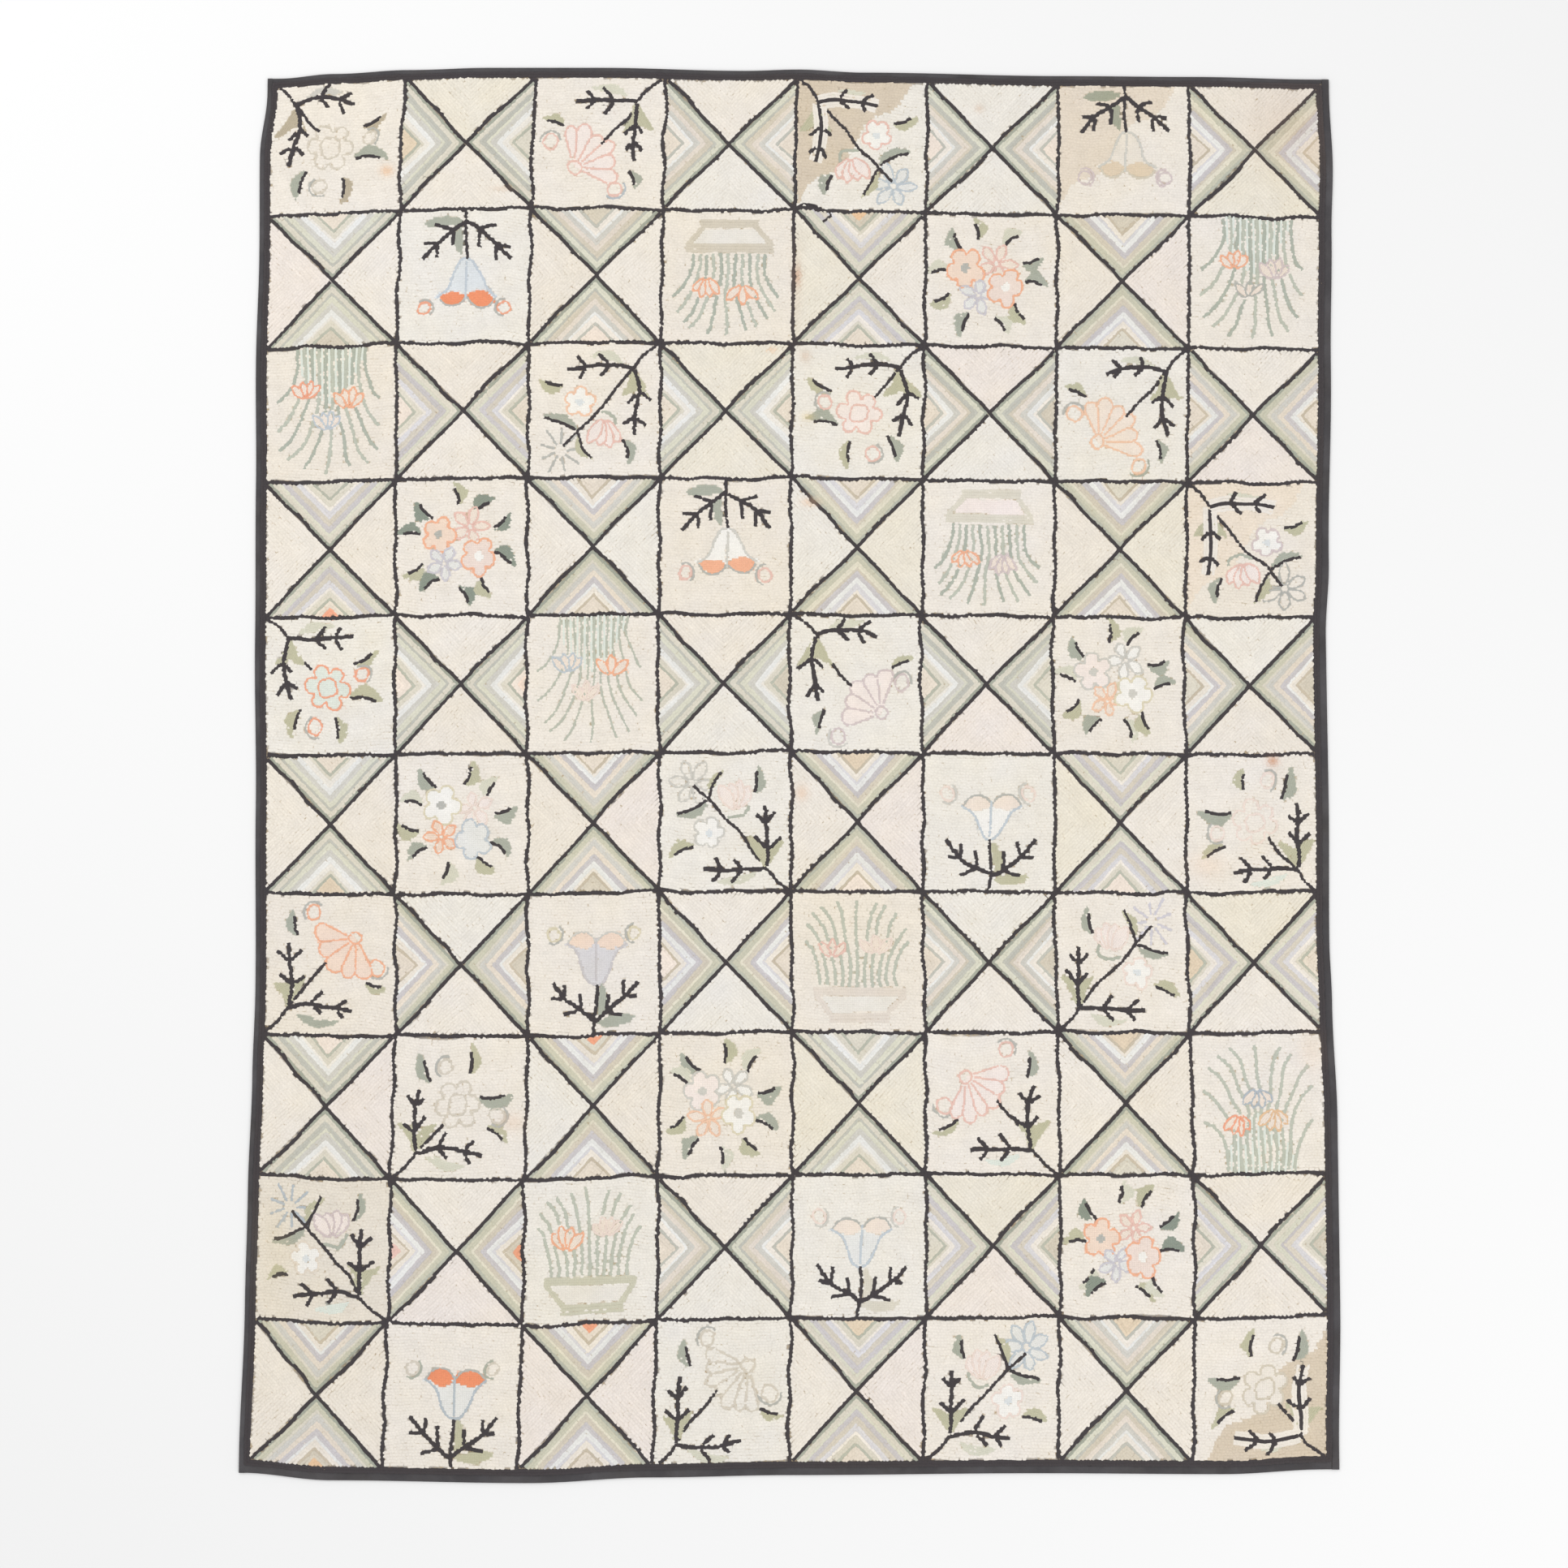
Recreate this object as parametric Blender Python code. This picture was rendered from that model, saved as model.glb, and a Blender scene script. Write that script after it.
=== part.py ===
# Hooked rug, lying flat: one hooked field and four strips of folded binding tape.
# Metres, +Z up. The origin is on the floor, under the middle of the rug.
# Every piece is modelled straight and square, and then one shared warp gives
# all of them the uneven outline in which the real rug lies.

import bisect
import math

import bmesh
import bpy

# Overall size, where the outline reaches furthest out
RUG_WIDTH = 2.407
RUG_LENGTH = 3.123
RUG_HEIGHT = 0.0085

# Foundation cloth, at the rim that the tape grips
RIM_BOTTOM = 0.0015
RIM_TOP = 0.0030
PILE_ROUNDING = 0.0028
PILE_ROUNDING_STEPS = 2

# Binding tape, folded over the rim, wider on two sides
TAPE_WIDTHS = {"left": 0.012, "right": 0.017, "bottom": 0.017, "top": 0.011}
TAPE_THICKNESS = 0.0012
TAPE_FOLD_RADIUS = 0.0010
PIECE_GAP = 0.0003

# Points closer than this are at the same place
SAME_PLACE = 1e-6

# Pieces are cut across at these steps, short enough for the waves of the outline
EDGE_STEP = 0.12

# How far each edge lies inside the overall rectangle, read from left to right
# or from bottom to top. Columns: place along the edge, inset.
TOP_INSET = (
    (-1.18, 0.025),
    (-1.05, 0.014),
    (-0.88, 0.005),
    (-0.70, 0.000),
    (-0.45, 0.000),
    (-0.12, 0.007),
    (0.00, 0.004),
    (0.15, 0.011),
    (0.60, 0.019),
    (0.90, 0.021),
    (1.18, 0.027),
)
BOTTOM_INSET = (
    (-1.20, 0.022),
    (-1.00, 0.006),
    (-0.57, 0.000),
    (-0.30, 0.012),
    (0.00, 0.017),
    (0.55, 0.021),
    (0.95, 0.019),
    (1.17, 0.029),
)
LEFT_INSET = (
    (-1.54, 0.000),
    (-1.20, 0.008),
    (-0.95, 0.011),
    (-0.70, 0.017),
    (-0.50, 0.021),
    (-0.10, 0.016),
    (0.28, 0.009),
    (0.63, 0.006),
    (0.91, 0.002),
    (1.15, 0.006),
    (1.38, 0.004),
    (1.53, 0.019),
)
RIGHT_INSET = (
    (-1.53, 0.028),
    (-1.20, 0.021),
    (-0.80, 0.021),
    (-0.54, 0.029),
    (-0.40, 0.033),
    (-0.10, 0.030),
    (0.28, 0.031),
    (0.45, 0.022),
    (0.90, 0.011),
    (1.20, 0.005),
    (1.36, 0.000),
    (1.53, 0.006),
)

# Piece finishes. Columns: colour, roughness.
FINISHES = {
    "pile": ((0.84, 0.79, 0.70, 1.0), 0.95),
    "tape": ((0.060, 0.060, 0.068, 1.0), 0.90),
}


def inset_at(table, place):
    """Reads an inset table at a place, easing from one row to the next."""
    places = [row[0] for row in table]
    if place <= places[0]:
        return table[0][1]
    if place >= places[-1]:
        return table[-1][1]
    after = bisect.bisect_right(places, place)
    (start, low), (end, high) = table[after - 1], table[after]
    share = (place - start) / (end - start)
    return low + (high - low) * (1 - math.cos(math.pi * share)) / 2


def lie_unevenly(mesh):
    """Moves each point of a straight piece to where it lies on the real rug."""
    for vertex in mesh.vertices:
        x, y = vertex.co.x, vertex.co.y
        across = x / RUG_WIDTH + 0.5
        along = y / RUG_LENGTH + 0.5
        vertex.co.x += (1 - across) * inset_at(LEFT_INSET, y) - across * inset_at(RIGHT_INSET, y)
        vertex.co.y += (1 - along) * inset_at(BOTTOM_INSET, x) - along * inset_at(TOP_INSET, x)


def pile_ends(size, first, last):
    """Where the pile starts and ends across the rug, just inside two strips of tape."""
    return (
        TAPE_WIDTHS[first] + PIECE_GAP - size / 2,
        size / 2 - TAPE_WIDTHS[last] - PIECE_GAP,
    )


PILE_X = pile_ends(RUG_WIDTH, "left", "right")
PILE_Y = pile_ends(RUG_LENGTH, "bottom", "top")


def cut_places(start, end):
    """Where every piece is cut across: evenly, from one inner edge of the tape to the other."""
    steps = round((end - start) / EDGE_STEP)
    return [start + (end - start) * number / steps for number in range(steps + 1)]


def cut_across(bm):
    """Gives neighbours their points at the same places, so that the warp keeps their gap."""
    for normal, ends in (((1, 0, 0), PILE_X), ((0, 1, 0), PILE_Y)):
        for place in cut_places(*ends):
            bmesh.ops.bisect_plane(
                bm,
                geom=bm.verts[:] + bm.edges[:] + bm.faces[:],
                dist=SAME_PLACE,
                plane_co=[place * part for part in normal],
                plane_no=normal,
            )


def finish_of(name):
    colour, roughness = FINISHES[name]
    material = bpy.data.materials.new(name)
    material.use_nodes = True
    shader = material.node_tree.nodes["Principled BSDF"]
    shader.inputs["Base Color"].default_value = colour
    shader.inputs["Roughness"].default_value = roughness
    shader.inputs["Metallic"].default_value = 0.0
    material.diffuse_color = colour
    return material


def add_piece(name, bm, material, collection):
    cut_across(bm)
    bmesh.ops.recalc_face_normals(bm, faces=bm.faces[:])
    if bm.calc_volume(signed=True) < 0:
        bmesh.ops.reverse_faces(bm, faces=bm.faces[:])
    mesh = bpy.data.meshes.new(name)
    bm.to_mesh(mesh)
    bm.free()
    lie_unevenly(mesh)
    mesh.materials.append(material)
    piece = bpy.data.objects.new(name, mesh)
    collection.objects.link(piece)
    return piece


def faces_at(bm, height, way):
    """The level faces at a height that look up (way 1) or down (way -1)."""
    bm.normal_update()
    return [
        face
        for face in bm.faces
        if face.normal.z * way > 0.9 and abs(face.calc_center_median().z - height) < SAME_PLACE
    ]


def push_out(bm, faces, move, closes=False):
    """Extrudes faces by a vector. The old ones stay only where they close the piece."""
    pushed = bmesh.ops.extrude_face_region(bm, geom=faces)
    corners = [item for item in pushed["geom"] if isinstance(item, bmesh.types.BMVert)]
    bmesh.ops.translate(bm, verts=corners, vec=move)
    if not closes:
        bmesh.ops.delete(bm, geom=faces, context="FACES_ONLY")


def add_field(collection, material):
    """The rim of bare foundation, with the pile above it and its back below."""
    rim_inset = TAPE_THICKNESS + PIECE_GAP
    rim_size = (RUG_WIDTH - 2 * rim_inset, RUG_LENGTH - 2 * rim_inset, RIM_TOP - RIM_BOTTOM)
    bm = bmesh.new()
    bmesh.ops.create_cube(bm, size=1)
    bmesh.ops.scale(bm, verts=bm.verts[:], vec=rim_size)
    bmesh.ops.translate(bm, verts=bm.verts[:], vec=(0, 0, (RIM_TOP + RIM_BOTTOM) / 2))
    for start, end, way in ((RIM_TOP, RUG_HEIGHT, 1), (RIM_BOTTOM, 0.0, -1)):
        inner = faces_at(bm, start, way)
        bmesh.ops.inset_region(bm, faces=inner, thickness=PIECE_GAP)
        for vertex in {vertex for face in inner for vertex in face.verts}:
            vertex.co.x = PILE_X[vertex.co.x > 0]
            vertex.co.y = PILE_Y[vertex.co.y > 0]
        push_out(bm, inner, (0, 0, end - start))
    top = set(faces_at(bm, RUG_HEIGHT, 1))
    rim_of_top = [edge for edge in bm.edges if len(top.intersection(edge.link_faces)) == 1]
    bmesh.ops.bevel(
        bm,
        geom=rim_of_top,
        offset=PILE_ROUNDING,
        segments=PILE_ROUNDING_STEPS,
        profile=0.5,
        affect="EDGES",
    )
    return add_piece("rug_field", bm, material, collection)


def tape_section(width):
    """The folded tape cut across: inward from its outer fold, and height."""
    height = RIM_TOP + PIECE_GAP + TAPE_THICKNESS
    groove_low = TAPE_THICKNESS
    groove_high = height - TAPE_THICKNESS
    radius = TAPE_FOLD_RADIUS
    middle_of_fold = radius * (1 - math.sqrt(0.5))
    return (
        (radius, 0.0),
        (width, 0.0),
        (width, groove_low),
        (TAPE_THICKNESS, groove_low),
        (TAPE_THICKNESS, groove_high),
        (width, groove_high),
        (width, height),
        (radius, height),
        (middle_of_fold, height - middle_of_fold),
        (0.0, height - radius),
        (0.0, radius),
        (middle_of_fold, middle_of_fold),
    )


def add_tape(side, ends, place_of, collection, material):
    """A straight strip of the folded section. place_of maps (along, inward) to (x, y)."""
    bm = bmesh.new()
    section = tape_section(TAPE_WIDTHS[side])
    corners = [bm.verts.new((ends[0], inward, z)) for inward, z in section]
    push_out(bm, [bm.faces.new(corners)], (ends[1] - ends[0], 0, 0), closes=True)
    for vertex in bm.verts:
        vertex.co.x, vertex.co.y = place_of(vertex.co.x, vertex.co.y)
    return add_piece("binding_" + side, bm, material, collection)


def add_binding(collection, material):
    """The side strips run the whole length, and the end strips butt between them."""
    half_width = RUG_WIDTH / 2
    half_length = RUG_LENGTH / 2
    whole = (-half_length, half_length)
    strips = (
        ("left", whole, lambda along, inward: (inward - half_width, along)),
        ("right", whole, lambda along, inward: (half_width - inward, along)),
        ("bottom", PILE_X, lambda along, inward: (along, inward - half_length)),
        ("top", PILE_X, lambda along, inward: (along, half_length - inward)),
    )
    for side, ends, place_of in strips:
        add_tape(side, ends, place_of, collection, material)


def main():
    for old in list(bpy.data.objects):
        bpy.data.objects.remove(old, do_unlink=True)
    collection = bpy.data.collections.new("hooked_rug")
    bpy.context.scene.collection.children.link(collection)
    add_field(collection, finish_of("pile"))
    add_binding(collection, finish_of("tape"))


main()
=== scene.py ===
# Hooked rug seen from above: a burlap foundation, about 190,000 loops of wool
# hooked through it in the pattern, and cotton tape folded over all four edges.
import math

import bmesh
import bpy
import numpy as np
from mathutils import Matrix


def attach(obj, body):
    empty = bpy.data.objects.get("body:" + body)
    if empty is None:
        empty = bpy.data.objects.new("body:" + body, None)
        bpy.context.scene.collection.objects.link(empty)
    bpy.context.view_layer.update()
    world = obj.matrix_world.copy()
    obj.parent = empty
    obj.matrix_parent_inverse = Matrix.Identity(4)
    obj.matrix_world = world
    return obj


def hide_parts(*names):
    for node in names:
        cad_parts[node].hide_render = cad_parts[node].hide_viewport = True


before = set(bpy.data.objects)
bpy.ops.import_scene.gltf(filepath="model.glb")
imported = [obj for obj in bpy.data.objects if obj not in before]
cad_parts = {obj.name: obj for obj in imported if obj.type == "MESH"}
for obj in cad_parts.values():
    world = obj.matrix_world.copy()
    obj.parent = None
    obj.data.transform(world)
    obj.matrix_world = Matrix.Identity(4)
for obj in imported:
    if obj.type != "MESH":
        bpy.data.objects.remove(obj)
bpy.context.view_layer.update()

print("frame loaded:", ", ".join(sorted(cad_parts)))


# Drawing of the rug. Metres, origin on the floor under the middle, +Y to the top.
rugSettings = {
    "width": 2.407,
    "length": 3.123,
    "seed": 41,
    "rowPitch": 0.0062,  # from one row of loops to the next
    "loopPitch": 0.0070,  # from one loop to the next in its row
    "cell": 0.0015,  # of the chart that keeps rows out of each other's way
    "strokeClaim": 0.0037,  # what a drawn row keeps to either side of its middle
    "handWave": 0.0016,  # how far the drawing strays, slowly
    "handJitter": 0.0006,  # and from loop to loop
}
rowPitch = rugSettings["rowPitch"]
loopPitch = rugSettings["loopPitch"]
random = np.random.default_rng(rugSettings["seed"])

# How far each edge lies inside the overall rectangle: place along the edge, inset
outlineInset = {
    "top": ((-1.18, 0.025), (-1.05, 0.014), (-0.88, 0.005), (-0.70, 0.0), (-0.45, 0.0), (-0.12, 0.007),
            (0.0, 0.004), (0.15, 0.011), (0.60, 0.019), (0.90, 0.021), (1.18, 0.027)),
    "bottom": ((-1.20, 0.022), (-1.00, 0.006), (-0.57, 0.0), (-0.30, 0.012), (0.0, 0.017), (0.55, 0.021),
               (0.95, 0.019), (1.17, 0.029)),
    "left": ((-1.54, 0.0), (-1.20, 0.008), (-0.95, 0.011), (-0.70, 0.017), (-0.50, 0.021), (-0.10, 0.016),
             (0.28, 0.009), (0.63, 0.006), (0.91, 0.002), (1.15, 0.006), (1.38, 0.004), (1.53, 0.019)),
    "right": ((-1.53, 0.028), (-1.20, 0.021), (-0.80, 0.021), (-0.54, 0.029), (-0.40, 0.033), (-0.10, 0.030),
              (0.28, 0.031), (0.45, 0.022), (0.90, 0.011), (1.20, 0.005), (1.36, 0.0), (1.53, 0.006)),
}


def insetAt(side, place):
    places, insets = np.array(outlineInset[side]).T
    after = np.clip(np.searchsorted(places, place, side="right"), 1, len(places) - 1)
    share = np.clip((place - places[after - 1]) / (places[after] - places[after - 1]), 0, 1)
    return insets[after - 1] + (insets[after] - insets[after - 1]) * (1 - np.cos(np.pi * share)) / 2


# The same warp as in the solids: a straight place to where it lies on the real rug
def lieUnevenly(x, y):
    x, y = np.asarray(x, float), np.asarray(y, float)
    across = x / rugSettings["width"] + 0.5
    along = y / rugSettings["length"] + 0.5
    return (
        x + (1 - across) * insetAt("left", y) - across * insetAt("right", y),
        y + (1 - along) * insetAt("bottom", x) - along * insetAt("top", x),
    )


tapeWidths = {"left": 0.012, "right": 0.017, "bottom": 0.017, "top": 0.011}
halfWide, halfHigh = rugSettings["width"] / 2, rugSettings["length"] / 2
pileLow = (-halfWide + tapeWidths["left"], -halfHigh + tapeWidths["bottom"])
pileHigh = (halfWide - tapeWidths["right"], halfHigh - tapeWidths["top"])
# Eight tiles by ten inside the black rim. The drawn rows stand a little high in the middle.
tileGrid = {"across": 8, "down": 10, "rim": 0.0075, "bowUp": 0.014}
tileGrid["left"] = pileLow[0] + tileGrid["rim"]
tileGrid["top"] = pileHigh[1] - tileGrid["rim"]
tileGrid["wide"] = (pileHigh[0] - pileLow[0] - 2 * tileGrid["rim"]) / tileGrid["across"]
tileGrid["high"] = (pileHigh[1] - pileLow[1] - 2 * tileGrid["rim"]) / tileGrid["down"]


# A place counted in tiles, from the left and from the top, to metres on the rug
def onRug(column, row):
    column, row = np.broadcast_arrays(np.atleast_1d(np.asarray(column, float)), np.asarray(row, float))
    x = tileGrid["left"] + tileGrid["wide"] * column
    y = tileGrid["top"] - tileGrid["high"] * row
    return lieUnevenly(x, y + tileGrid["bowUp"] * np.sin(math.pi * row / tileGrid["down"]))


handWaves = [
    (random.uniform(0, math.tau), math.tau / random.uniform(0.06, 0.16), random.uniform(0, math.tau, 2))
    for number in range(6)
]


def unsteady(x, y):
    moveX, moveY = 0.0, 0.0
    for turn, wave, phases in handWaves:
        run = (x * math.cos(turn) + y * math.sin(turn)) * wave
        moveX = moveX + np.sin(run + phases[0])
        moveY = moveY + np.sin(run + phases[1])
    share = rugSettings["handWave"] / math.sqrt(3)
    return x + share * moveX, y + share * moveY


# Yarns, as they look in daylight
yarnHex = {
    "cream": "eae3d9", "creamWarm": "e9e1d5", "creamCool": "e9e4db", "creamGrey": "e4dccf",
    "creamStraw": "e8e1d2", "creamRose": "eae1d9", "black": "423d3f", "white": "f2efe9",
    "tanPale": "e2d6c6", "tanDeep": "d5c7b3", "peachGround": "e9dccb", "leafOlive": "c4c1a6",
    # the deep sage green is painted shade: the darker row beside the black diagonals
    "leafGrey": "b0b3a5", "leafDark": "929a8d", "leafDeep": "a6a99b", "leafTan": "beb29c",
    "paleLeaf": "d9d7c6", "moss": "a9ab98", "mint": "e0e5dc", "stone": "dbd5c6", "pinkStone": "e1d7cb",
    "oliveBand": "ccc9b5", "greyBand": "c1c0b6", "tan": "d4cbba", "tanWarm": "e0cfb7", "beige": "e4d9ca",
    "greige": "d6cec0", "straw": "ddd4ba", "mustard": "e0cb94", "mustardPale": "e0dac7",
    "peach": "efdac9", "peachPale": "eee1d4", "peachLine": "efc9ae", "tanOrange": "e6c39e",
    "orange": "ee9870", "orangeSoft": "eda786", "orangeLine": "f0b696", "salmon": "efab8e",
    "pinkLine": "e8c4b8", "pinkPale": "ecdcd2", "pinkWhite": "f1e6df", "mauve": "d5c7c5",
    "mauveGrey": "cac5c5", "lilac": "d9d6d7", "lilacLine": "d0ccd1", "ice": "e6e5e1", "iceBlue": "dee1e1",
    "blueLine": "c3cacf", "greyBlue": "b6bdc2", "greyLine": "b9b8b1", "greyPale": "d0cdc5",
    # the sage line is a real stripe, and where it comes first in a set it is painted shade beside the black
    # diagonals
    "sageLine": "b9baab", "tanLine": "c9bda9", "reed": "aeb3a6", "reedLight": "bcbfb1",
    "stainBrown": "c39a76", "rust": "c8885a", "stainOrange": "e8bd95",
}


def linearOf(hexText):
    parts = np.array([int(hexText[at:at + 2], 16) for at in (0, 2, 4)]) / 255
    return np.where(parts <= 0.04045, parts / 12.92, ((parts + 0.055) / 1.055) ** 2.4)


yarnColour = {name: linearOf(text) for name, text in yarnHex.items()}


# Every loop is one entry in these lists, joined to arrays once all are hooked
loopStore = {word: [] for word in ("x", "y", "turn", "colour", "fat", "long", "raised")}
chartMargin = 0.03
chartLow = np.array([-halfWide, -halfHigh]) - chartMargin
chartSize = (2 * -chartLow / rugSettings["cell"]).astype(int) + 2
taken = np.zeros(chartSize, bool)


def cellsOf(x, y):
    across = ((x - chartLow[0]) / rugSettings["cell"]).astype(int)
    along = ((y - chartLow[1]) / rugSettings["cell"]).astype(int)
    return np.clip(across, 0, chartSize[0] - 1), np.clip(along, 0, chartSize[1] - 1)


def claim(x, y, radius):
    steps = int(radius / rugSettings["cell"]) + 1
    away = np.arange(-steps, steps + 1)
    right, up = [grid.ravel() for grid in np.meshgrid(away, away)]
    inside = np.hypot(right, up) * rugSettings["cell"] <= radius
    across, along = cellsOf(x, y)
    across = np.clip(across[:, None] + right[inside], 0, chartSize[0] - 1)
    along = np.clip(along[:, None] + up[inside], 0, chartSize[1] - 1)
    taken[across, along] = True


# Hooks loops at these places. Places that another row holds already are left out.
def hookLoops(x, y, turn, colour, fat=1.0, raised=0.0, claims=0.0, long=1.0):
    free = ~taken[cellsOf(x, y)]
    given = {"x": x, "y": y, "turn": turn, "colour": colour, "fat": fat, "long": long, "raised": raised}
    for word, values in given.items():
        shape = (len(x), 3) if word == "colour" else len(x)
        loopStore[word].append(np.broadcast_to(values, shape)[free])
    if claims and free.any():
        claim(x[free], y[free], claims)


# Places moved a little, each in its own way
def jittered(x, y, reach):
    moved = random.normal(0, reach, (2, len(x)))
    return x + moved[0], y + moved[1]


# Places along a path, with the direction of the path at each. They are evenly spaced
# in a drawn line, and by the hooker's eye in a row of the ground.
def alongPath(x, y, pitch, loose=0.0):
    steps = np.hypot(np.diff(x), np.diff(y))
    run = np.concatenate(([0], np.cumsum(steps)))
    count = max(1, round(run[-1] / pitch))
    places = (np.arange(count) + 0.5) * run[-1] / count
    if loose:
        places = places + (random.uniform(-0.5, 0.5) + random.normal(0, loose, count)) * pitch
    turns = np.arctan2(np.diff(y), np.diff(x))
    part = np.clip(np.searchsorted(run, places, side="right") - 1, 0, len(turns) - 1)
    return np.interp(places, run, x), np.interp(places, run, y), turns[part]


# A curve through all of the points
def smooth(points, closed=False, steps=7):
    points = np.asarray(points, float)
    if closed:
        points = np.vstack((points[-1], points, points[:2]))
    elif len(points) < 3:
        return points
    else:
        points = np.vstack((2 * points[0] - points[1], points, 2 * points[-1] - points[-2]))
    share = np.linspace(0, 1, steps, endpoint=False)[:, None]
    parts = []
    for a, b, c, d in zip(points, points[1:], points[2:], points[3:]):
        parts.append(
            0.5 * (2 * b + (c - a) * share + (2 * a - 5 * b + 4 * c - d) * share ** 2
                   + (3 * b - a - 3 * c + d) * share ** 3)
        )
    parts.append(points[-2][None])
    return np.vstack(parts)


# Places in one tile: 0 to 1 from the motif's own side or corner, so that a motif
# that hangs or is mirrored is drawn with the same numbers as one that stands
def tilePlace(row, column, flip=""):
    def place(points):
        points = np.atleast_2d(np.asarray(points, float))
        across = 1 - points[:, 0] if "h" in flip else points[:, 0]
        up = 1 - points[:, 1] if "v" in flip else points[:, 1]
        return unsteady(*onRug(column - 1 + across, row - up))
    return place


# One drawn line. A thin one is hooked with shorter loops, closer together.
def stroke(place, points, yarn, fat=0.76, closed=False, bends=True, raised=0.0007):
    if bends:
        points = smooth(points, closed)
    long = min(1.0, 0.25 + 0.6 * fat)
    x, y, turn = alongPath(*place(points), loopPitch * 0.84 * long)
    x, y = jittered(x, y, 0.0002 + 0.0002 * (fat > 1))
    fats = fat * random.uniform(0.93, 1.07, len(x))
    claims = rugSettings["strokeClaim"] * 0.92 + (fat - 1) * rowPitch / 2
    hookLoops(x, y, turn, yarnColour[yarn], fats, raised, claims, long)


def insideOf(edgeX, edgeY, x, y):
    inside = np.zeros(np.shape(x), bool)
    for a, b, c, d in zip(edgeX, edgeY, np.roll(edgeX, -1), np.roll(edgeY, -1)):
        if b != d:
            inside ^= ((b > y) != (d > y)) & (x < (c - a) * (y - b) / (d - b) + a)
    return inside


# Fills an outline with short fine rows of its own, laid at a slant
fillSettings = {"inset": 0.0018, "jitter": 0.0003, "raised": 0.0001, "claim": 0.0048}


def fillShape(place, points, yarn, slant=0.0, bends=True, fine=0.72):
    if bends:
        points = smooth(points, True)
    edgeX, edgeY = place(points)
    middle = np.array([edgeX.mean(), edgeY.mean()])
    cosine, sine = math.cos(slant), math.sin(slant)
    alongEdge = (edgeX - middle[0]) * cosine + (edgeY - middle[1]) * sine
    acrossEdge = (edgeY - middle[1]) * cosine - (edgeX - middle[0]) * sine
    rows = np.arange(acrossEdge.min() + fillSettings["inset"], acrossEdge.max(), rowPitch * fine)
    places = np.arange(alongEdge.min() + fillSettings["inset"], alongEdge.max(), loopPitch * fine * 0.95)
    if not len(rows) or not len(places):
        return
    along, across = [grid.ravel() for grid in np.meshgrid(places, rows)]
    inside = insideOf(alongEdge, acrossEdge, along, across)
    along, across = along[inside], across[inside]
    x = middle[0] + along * cosine - across * sine
    y = middle[1] + along * sine + across * cosine
    hookLoops(*jittered(x, y, fillSettings["jitter"]), slant, yarnColour[yarn], fine * 1.08,
              fillSettings["raised"], fillSettings["claim"] * fine, fine * 1.05)


def turned(points, angle, scale, centre):
    points = np.asarray(points, float) * scale
    cosine, sine = math.cos(angle), math.sin(angle)
    return points @ np.array([[cosine, sine], [-sine, cosine]]) + np.asarray(centre)


# No two tiles were hooked quite alike
def nudged(points, reach=0.014):
    return np.asarray(points, float) + random.uniform(-reach, reach, np.shape(points))


# A twig with pairs of short shoots that lean to its tip. A halo is a pale row on either side.
twigShape = {"pairs": (0.36, 0.70), "length": 0.118, "lean": 47, "fat": 1.5, "haloAway": 0.036}


def sprig(place, path, halo=""):
    curve = smooth(path)
    stroke(place, curve, "black", twigShape["fat"], bends=False)
    run = np.concatenate(([0], np.cumsum(np.hypot(*np.diff(curve, axis=0).T))))
    for share in twigShape["pairs"]:
        share = share + random.uniform(-0.04, 0.04)
        before, at = [np.array([np.interp((share + step) * run[-1], run, curve[:, axis]) for axis in (0, 1)])
                      for step in (-0.05, 0.0)]
        heading = math.atan2(*(at - before)[::-1])
        for side in (1, -1):
            lean = heading + side * math.radians(twigShape["lean"] + random.uniform(-8, 8))
            length = twigShape["length"] * random.uniform(0.8, 1.15) * (1.1 - 0.3 * share)
            stroke(place, (at, at + length * np.array((math.cos(lean), math.sin(lean)))), "black",
                   twigShape["fat"] * 0.92, bends=False)
    if halo:
        beside = np.gradient(curve, axis=0)[:, ::-1] * (-1, 1)
        beside = beside / np.hypot(*beside.T)[:, None]
        for away in (-2, -1, 1, 2):
            stroke(place, curve + beside * twigShape["haloAway"] * away * 0.62, halo, 1.0, bends=False,
                   raised=0)


# A leaf with one dark edge: its body swells to one side of that edge and runs on to a point
def leaf(place, start, end, yarn, width=0.07, side=1, over=1.32, dark=1.2):
    start, end = np.asarray(start, float), np.asarray(end, float)
    along = (end - start) * over
    length = np.hypot(*along)
    angle = math.atan2(along[1], along[0])
    wide = side * 1.3 * width / length
    if dark:
        stroke(place, turned(((0.02, 0), (0.5 / over, 0.12 * wide), (1 / over, 0)), angle, length, start),
               "black", dark)
    shape = ((0.02, 0), (0.14, 0.55 * wide), (0.40, wide), (0.72, 0.72 * wide), (1, 0), (0.5, 0.05 * wide))
    fromX, fromY = place([start, end])
    fillShape(place, turned(shape, angle, length, start), yarn,
              math.atan2(fromY[1] - fromY[0], fromX[1] - fromX[0]), fine=0.66)


def scallops(centre, radius, count, depth, turn=0.0, steps=6):
    angles = np.arange(count * steps) * math.tau / (count * steps)
    reach = radius * (1 - depth + depth * np.abs(np.cos(count * angles / 2)) ** 0.7)
    rim = np.column_stack((np.cos(angles + turn), np.sin(angles + turn)))
    return rim * reach[:, None] + np.asarray(centre)


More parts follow.
